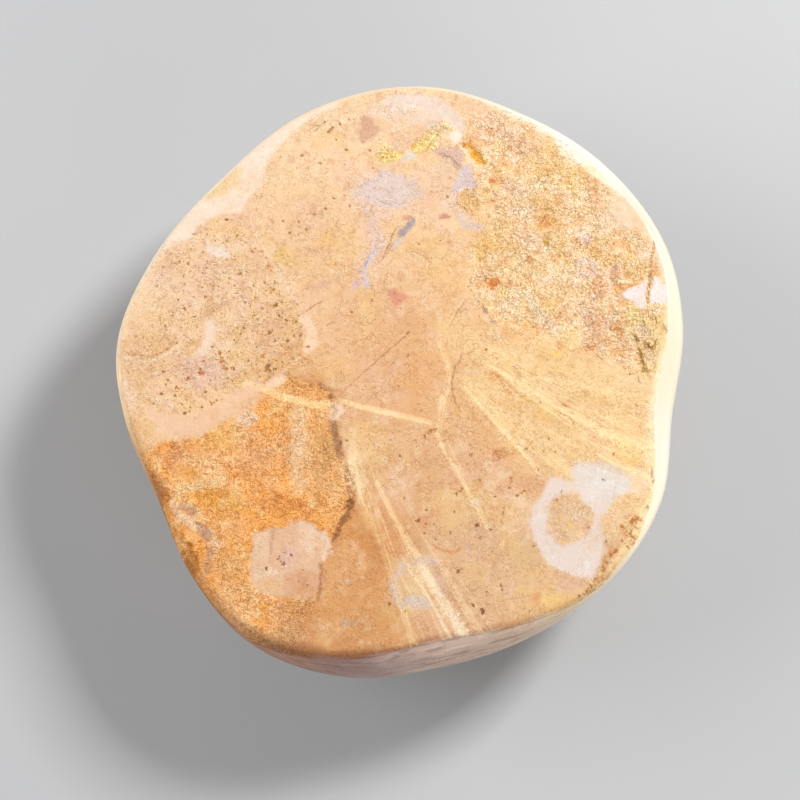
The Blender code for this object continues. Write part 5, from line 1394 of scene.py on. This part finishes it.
def stone_material():
    """Matt sandy limestone on the sawn face, polished shell on the margin and the dome."""
    material = bpy.data.materials.new("fossil_limestone")
    material.use_nodes = True
    tree = material.node_tree
    tree.nodes.clear()
    n = Nodes(tree)
    ragged, borings, fan = ragged_group(), borings_group(), fan_group()

    place = n.scaled(n.add("TexCoord", {}, out=3), 1 / MM)
    other = n.vector("ADD", place, (37.0, 11.0, 5.0))
    wander = n.times(n.less(n.noise(place, 1.5, 5.0, 0.66), 0.5), 3.0)
    lumps = n.noise(place, 0.95, 4.0, 0.68, 0.3)
    grain = n.noise(other, 0.42, 3.0, 0.62)
    cracks = n.noise(other, 0.62, 2.0, 0.6, 1.6)
    crumb = n.plus(n.times(lumps, 0.58), n.times(grain, 0.42))
    sand = n.less(n.noise(other, 0.24, 2.0, 0.6), 0.5)
    rough = n.read("rough")
    crowding = n.noise(other, 4.4, 2.0, 0.5)
    uneven = n.ramp(crowding, 0.38, 0.60, 0.08, 0.36)
    bend = n.add("TexNoise", {"Vector": place, "Scale": 1.3, "Detail": 2.0}, out=1)
    bent = n.vector("ADD", place, n.scaled(bend, 1.5))
    crowded = n.plus(n.times(rough, 0.03), n.times(n.less(crowding, 0.5), 0.45))
    gate = n.ramp(n.plus(n.noise(other, 0.80, 2.0, 0.5), crowded), 0.53, 0.60)
    between = n.cells(bent, DASH_SIZE, feature="DISTANCE_TO_EDGE")
    dashes = n.times(n.ramp(between, 0.13, 0.04), gate)
    # The dashes' pattern moved a little towards the lower left: painted highlight on the lit lip beside
    # each dash.
    beside = n.cells(n.vector("ADD", bent, (0.17, 0.15, 0.0)), DASH_SIZE,
                     feature="DISTANCE_TO_EDGE")
    lip_highlights = n.times(n.ramp(beside, 0.15, 0.05), gate)
    mounds = n.noise(place, 1.7, 3.0, 0.55, 0.5)

    def edge(distance, wobble, soft):
        return n.group(ragged, {"Distance": distance, "Push": wander, "Wobble": wobble,
                                "Softness": soft})

    # Ridges painted pale, partly their own paler colour and partly painted highlight, furrows painted brown
    # as painted shade, fine lines along them, and bundles of grinding lines
    colour = n.read("paint", "Color")
    stroke = n.vector("MULTIPLY", n.read("stroke", "Vector"), (2.6, 0.07, 1.0))
    stripes = n.less(n.noise(stroke, 1.0, 2.0, 0.6), 0.5)
    streak = n.read("streak")
    broken = n.plus(n.times(stripes, 1.5), n.times(wander, 0.16))
    ridge = n.times(n.ramp(n.plus(streak, n.times(broken, n.ramp(streak, 0.0, 0.4))), 0.08, 1.0),
                    n.ramp(streak, 0.02, 0.2))
    # Pale ridges: their own paler colour with painted highlight.
    pale = n.mix(0.5, n.vector("MULTIPLY", colour, (1.25, 1.38, 1.50)), (258, 228, 172))
    colour = n.mix(n.times(ridge, 0.88), colour, pale)
    trough = n.times(streak, -1.0)
    furrow_shade = n.times(n.ramp(n.plus(trough, n.times(broken, 0.5)), 0.10, 0.95),
                     n.ramp(trough, 0.02, 0.2))
    # Painted shade in the furrows.
    colour = n.mix(n.times(furrow_shade, 0.66), colour, (214, 148, 90))
    fans = [n.group(fan, {"Place": place, "Middle": (*middle, THICKNESS), "First": first,
                          "Last": last, "Near": near, "Far": far})
            for middle, first, last, near, far in FANS]
    scores = n.math("MAXIMUM", fans[0], fans[1])
    colour = n.mix(n.times(scores, 0.55), colour, pale)

    # Crust, sections through shell, stains with some painted shade along the ledge, then lines, one of them
    # painted shade
    crust = edge(n.plus(n.read("crust"), n.times(n.less(crumb, 0.5), 4.0)), 0.9, 0.25)
    sulphur = n.mix(n.ramp(crumb, 0.38, 0.50), (232, 164, 80), (262, 234, 160))
    sulphur = n.mix(n.ramp(lumps, 0.55, 0.45, 0.0, 0.5), sulphur, (250, 204, 132))
    colour = n.mix(n.times(crust, 0.85), colour, sulphur)
    shell_soft = n.read("shell_soft")
    shell = edge(n.read("shell"), n.plus(n.times(shell_soft, 0.45), 0.22), shell_soft)
    tint = n.read("shell_tint", "Color")
    clouds = n.noise(other, 5.0, 4.0, 0.6, 0.6)
    nacre = n.tinted(n.ramp(clouds, 0.50, 0.66, 0.0, 0.55), tint, (1.05, 1.12, 1.18))
    nacre = n.mix(n.ramp(clouds, 0.48, 0.34, 0.0, 0.60), nacre,
                  n.vector("MULTIPLY", tint, (0.96, 0.86, 0.70)))
    colour = n.mix(n.times(shell, 0.94), colour, nacre)
    stain_soft = n.read("stain_soft")
    reach = n.math("ABSOLUTE", stain_soft)
    stain = edge(n.plus(n.read("stain"), n.times(n.less(grain, 0.5), 1.8)),
                 n.plus(n.times(reach, 0.9), 0.45), reach)
    crumbly = n.ramp(stain_soft, -0.05, -0.20)
    stain = n.times(stain, n.inverse(n.times(crumbly, n.ramp(crumb, 0.47, 0.55))))
    stain = n.times(stain, n.read("stain_tint", "Alpha"))
    tint = n.read("stain_tint", "Color")
    tint = n.tinted(n.ramp(wander, 0.0, 0.8, 0.0, 0.6), tint, (1.08, 1.10, 1.13))
    tint = n.tinted(n.ramp(clouds, 0.50, 0.38, 0.0, 0.7), tint, (0.96, 0.86, 0.76))
    tint = n.tinted(n.ramp(grain, 0.46, 0.36, 0.0, 0.7), tint, (0.86, 0.76, 0.70))
    colour = n.mix(stain, colour, tint)
    off = n.math("ABSOLUTE", n.plus(n.plus(n.read("line"), n.times(wander, 0.20)),
                                    n.times(n.less(grain, 0.5), 0.8)))
    line = n.ramp(n.less(off, n.read("line_half")), 0.13, -0.10)
    line = n.times(line, n.ramp(n.read("line_near"), 0.55, 0.35))
    line = n.times(line, n.ramp(grain, 0.38, 0.56, 0.15, 0.85))
    colour = n.mix(line, colour, n.read("line_tint", "Color"))

    # Grain over all of it: brown in its gaps, slits, dashes and low mounds, lighter on its crumbs and mound
    # tops,
    # partly the grain's own colour and partly painted shade and painted highlight; the sand's glint is
    # painted highlight too, and the ledge's shade below is painted shade
    deep = n.vector("MULTIPLY", colour, (0.76, 0.55, 0.34))
    crest_highlight = n.vector("MULTIPLY", colour, (1.14, 1.22, 1.34))
    heaped = n.plus(crumb, n.times(rough, 0.032))
    marked = n.times(n.plus(n.times(rough, 0.34), 0.34), n.inverse(n.times(shell, 0.9)))
    slits = n.times(n.ramp(cracks, 0.60, 0.69),
                    n.times(n.plus(n.times(rough, 0.50), uneven), n.inverse(n.times(shell, 0.6))))
    for share, tone in (
        (n.times(n.ramp(heaped, 0.465, 0.37), n.plus(n.times(rough, 0.42), uneven)), deep),
        (n.times(n.ramp(heaped, 0.50, 0.60), n.plus(n.times(rough, 0.62), uneven)), crest_highlight),
        (n.times(n.ramp(mounds, 0.42, 0.34), n.times(rough, 0.18)), deep),
        (n.times(n.ramp(mounds, 0.44, 0.58), n.times(rough, 0.50)), crest_highlight),
        (n.times(lip_highlights, marked), crest_highlight), (n.times(dashes, marked), deep), (slits, deep),
    ):
        colour = n.mix(share, colour, tone)
    shade = n.times(n.read("shade"), n.ramp(crumb, 0.54, 0.44, 0.1, 0.95))
    colour = n.mix(n.times(shade, 0.75), colour, (168, 108, 64))
    glint = n.times(sand, n.plus(n.times(rough, 1.0), n.plus(uneven, 0.30)))
    glint = n.times(glint, n.inverse(n.times(shell, 0.6)))
    bright = n.scaled((0.8, 1.1, 1.6), glint)
    colour = n.vector("MULTIPLY", colour, n.vector("ADD", bright, WHITE))

    # Round spots and small borings
    to_spot = n.add("SeparateXYZ", {0: n.read("spot", "Vector")}).node.outputs
    spot_away = n.math("SQRT", n.plus(n.math("POWER", to_spot["X"], 2.0),
                                      n.math("POWER", to_spot["Y"], 2.0)))
    spot_edge = n.plus(n.less(spot_away, to_spot["Z"]),
                       n.plus(n.times(wander, 0.20), n.times(n.less(grain, 0.5), 1.3)))
    spot = n.times(n.ramp(spot_edge, 0.08, -0.12), n.ramp(n.read("spot_near"), 0.55, 0.35))
    colour = n.mix(n.times(spot, n.ramp(lumps, 0.35, 0.6, 0.62, 0.92)), colour,
                   n.read("spot_tint", "Color"))
    crowd = n.read("borings")
    dense = n.group(borings, {"Place": place, "Size": 0.74, "Share": n.times(crowd, 0.80),
                              "Radius": 0.28})
    halo = n.times(dense.node.outputs["Halo"], n.ramp(clouds, 0.42, 0.60, 0.15, 0.6))
    colour = n.tinted(halo, colour, (1.0, 0.90, 0.58))
    sparse = n.group(borings, {"Place": other, "Size": 1.7, "Share": 0.5, "Radius": 0.10})
    dots = n.times(n.math("MAXIMUM", dense, n.times(sparse, 0.7)),
                   n.inverse(n.times(shell, 0.8)))
    boring = n.mix(n.ramp(clouds, 0.44, 0.58), (154, 92, 28), (198, 134, 52))
    colour = n.mix(n.times(dots, n.ramp(grain, 0.60, 0.42, 0.35, 0.90)), colour, boring)

    # Polished margin and dome
    margin = n.read("margin")
    polished = edge(n.read("polish"), 0.30, 0.20)
    shine = n.read("paint", "Color")
    layer = n.noise(n.vector("MULTIPLY", other, (0.22, 0.22, 1.6)), 1.0, 4.0, 0.62, 0.4)
    waxy = n.read("waxy")
    for field, low, high, most, by in (
        (layer, 0.47, 0.36, 0.75, (0.66, 0.60, 0.58)),
        (layer, 0.52, 0.64, 0.80, (1.22, 1.26, 1.30)),
        (crumb, 0.43, 0.36, 0.60, (0.60, 0.48, 0.40)),
    ):
        shine = n.tinted(n.times(waxy, n.ramp(field, low, high, 0.0, most)), shine, by)
    tubercle = n.ramp(n.cells(place, 1.5, random=0.6), 0.30, 0.20)
    shine = n.mix(n.times(n.times(tubercle, n.ramp(margin, 3.0, 8.0)), 0.30), shine,
                  (170, 140, 116))
    petal = n.read("petal")
    band = n.times(n.ramp(petal, -1.4, -1.0), n.ramp(petal, 1.4, 1.0))
    slot = n.ramp(n.math("SINE", n.times(n.read("petal_along"), 7.4)), 0.1, 0.6)
    slot = n.times(n.times(slot, band), n.ramp(margin, 14.0, 18.0))
    shine = n.mix(n.times(slot, 0.65), shine, (150, 110, 76))
    colour = n.mix(polished, colour, shine)

    # Relief finer than the mesh, in millimetres
    height = n.times(crumb, n.plus(n.times(rough, 0.50), 0.09))
    for field, amount in (
        (sand, n.plus(n.times(rough, 0.07), 0.03)), (scores, 0.02), (slits, -0.10),
        (n.less(mounds, 0.5), n.times(rough, 0.35)),
        (n.ramp(between, 0.0, 0.30), n.times(rough, 0.10)), (dashes, n.times(marked, -0.08)),
        (n.math("MAXIMUM", dots, n.times(spot, 0.5)), -0.06),
    ):
        height = n.plus(height, n.times(field, amount))
    height = n.times(height, n.inverse(polished))
    height = n.less(height, n.times(n.times(slot, polished), 0.05))
    normal = n.add("Bump", {"Height": height, "Distance": MM, "Strength": 1.0})

    matt = n.less(n.plus(n.times(grain, 0.14), 0.74), n.times(shell, 0.24))
    gloss = n.plus(n.plus(n.times(n.math("ABSOLUTE", wander), 0.06), 0.16),
                   n.times(waxy, 0.36))
    roughness = n.add("Mix", {0: polished, 2: matt, 3: gloss}, data_type="FLOAT")
    coat = n.times(polished, n.less(1.0, n.times(waxy, 0.85)))
    shader = n.add("BsdfPrincipled", {"Base Color": colour, "Roughness": roughness,
                                      "Normal": normal, "IOR": 1.5, "Specular IOR Level": 0.2,
                                      "Coat Weight": coat, "Coat Roughness": 0.18}).node
    output = tree.nodes.new("ShaderNodeOutputMaterial")
    tree.links.new(shader.outputs[0], output.inputs["Surface"])
    return material


# ---------- the scene

def make_camera():
    """Camera in front of the stone, looking down at CAMERA_TILT from the horizontal."""
    data = bpy.data.cameras.new("camera")
    data.lens = LENS
    data.sensor_width = SENSOR
    camera = bpy.data.objects.new("camera", data)
    bpy.context.scene.collection.objects.link(camera)
    tilt = np.radians(CAMERA_TILT)
    aim = Vector(CAMERA_AIM)
    camera.location = aim + CAMERA_AWAY * Vector((0.0, -np.cos(tilt), np.sin(tilt)))
    camera.rotation_euler = (aim - camera.location).to_track_quat("-Z", "Y").to_euler()
    bpy.context.scene.camera = camera


def make_light(name, place, size, power, colour):
    """Square soft light that faces the stone."""
    data = bpy.data.lights.new(name, "AREA")
    data.size = size
    data.energy = power
    data.color = colour
    light = bpy.data.objects.new(name, data)
    bpy.context.scene.collection.objects.link(light)
    light.location = place
    light.rotation_euler = (-Vector(place)).to_track_quat("-Z", "Y").to_euler()


def make_studio():
    """Soft key light from the upper right, two weak fills, an even sky and a pale floor."""
    make_light("key", (0.50, 0.38, 0.54), 0.20, 7.6, (1.0, 0.99, 0.97))
    make_light("fill", (-0.75, 0.05, 0.30), 0.6, 5.2, WHITE)
    make_light("low front", (0.28, -0.62, 0.20), 0.5, 1.6, WHITE)
    world = bpy.data.worlds.new("studio")
    world.use_nodes = True
    background = world.node_tree.nodes["Background"].inputs
    background["Color"].default_value = (*WHITE, 1.0)
    background["Strength"].default_value = SKY
    bpy.context.scene.world = world
    bpy.context.scene.view_settings.view_transform = "Standard"

    mesh = bpy.data.meshes.new("floor")
    half = FLOOR_HALF
    corners = [(-half, -half, 0), (half, -half, 0), (half, half, 0), (-half, half, 0)]
    mesh.from_pydata(corners, [], [(0, 1, 2, 3)])
    floor = bpy.data.objects.new("floor", mesh)
    bpy.context.scene.collection.objects.link(floor)
    material = bpy.data.materials.new("pale_floor")
    material.use_nodes = True
    n = Nodes(material.node_tree)
    shader = material.node_tree.nodes["Principled BSDF"]
    tone = n.noise(n.add("TexCoord", {}, out=3), 0.12, 3.0)
    material.node_tree.links.new(n.mix(tone, (196, 197, 200), (206, 207, 209)),
                                 shader.inputs["Base Color"])
    shader.inputs["Roughness"].default_value = 0.8
    mesh.materials.append(material)


def make_stone():
    """The one piece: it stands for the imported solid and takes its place."""
    mesh = stone_mesh()
    mesh.materials.append(stone_material())
    stone = bpy.data.objects.new("stone", mesh)
    bpy.context.scene.collection.objects.link(stone)
    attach(stone, "root")
    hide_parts("fossil_urchin")


make_camera()
make_studio()
make_stone()
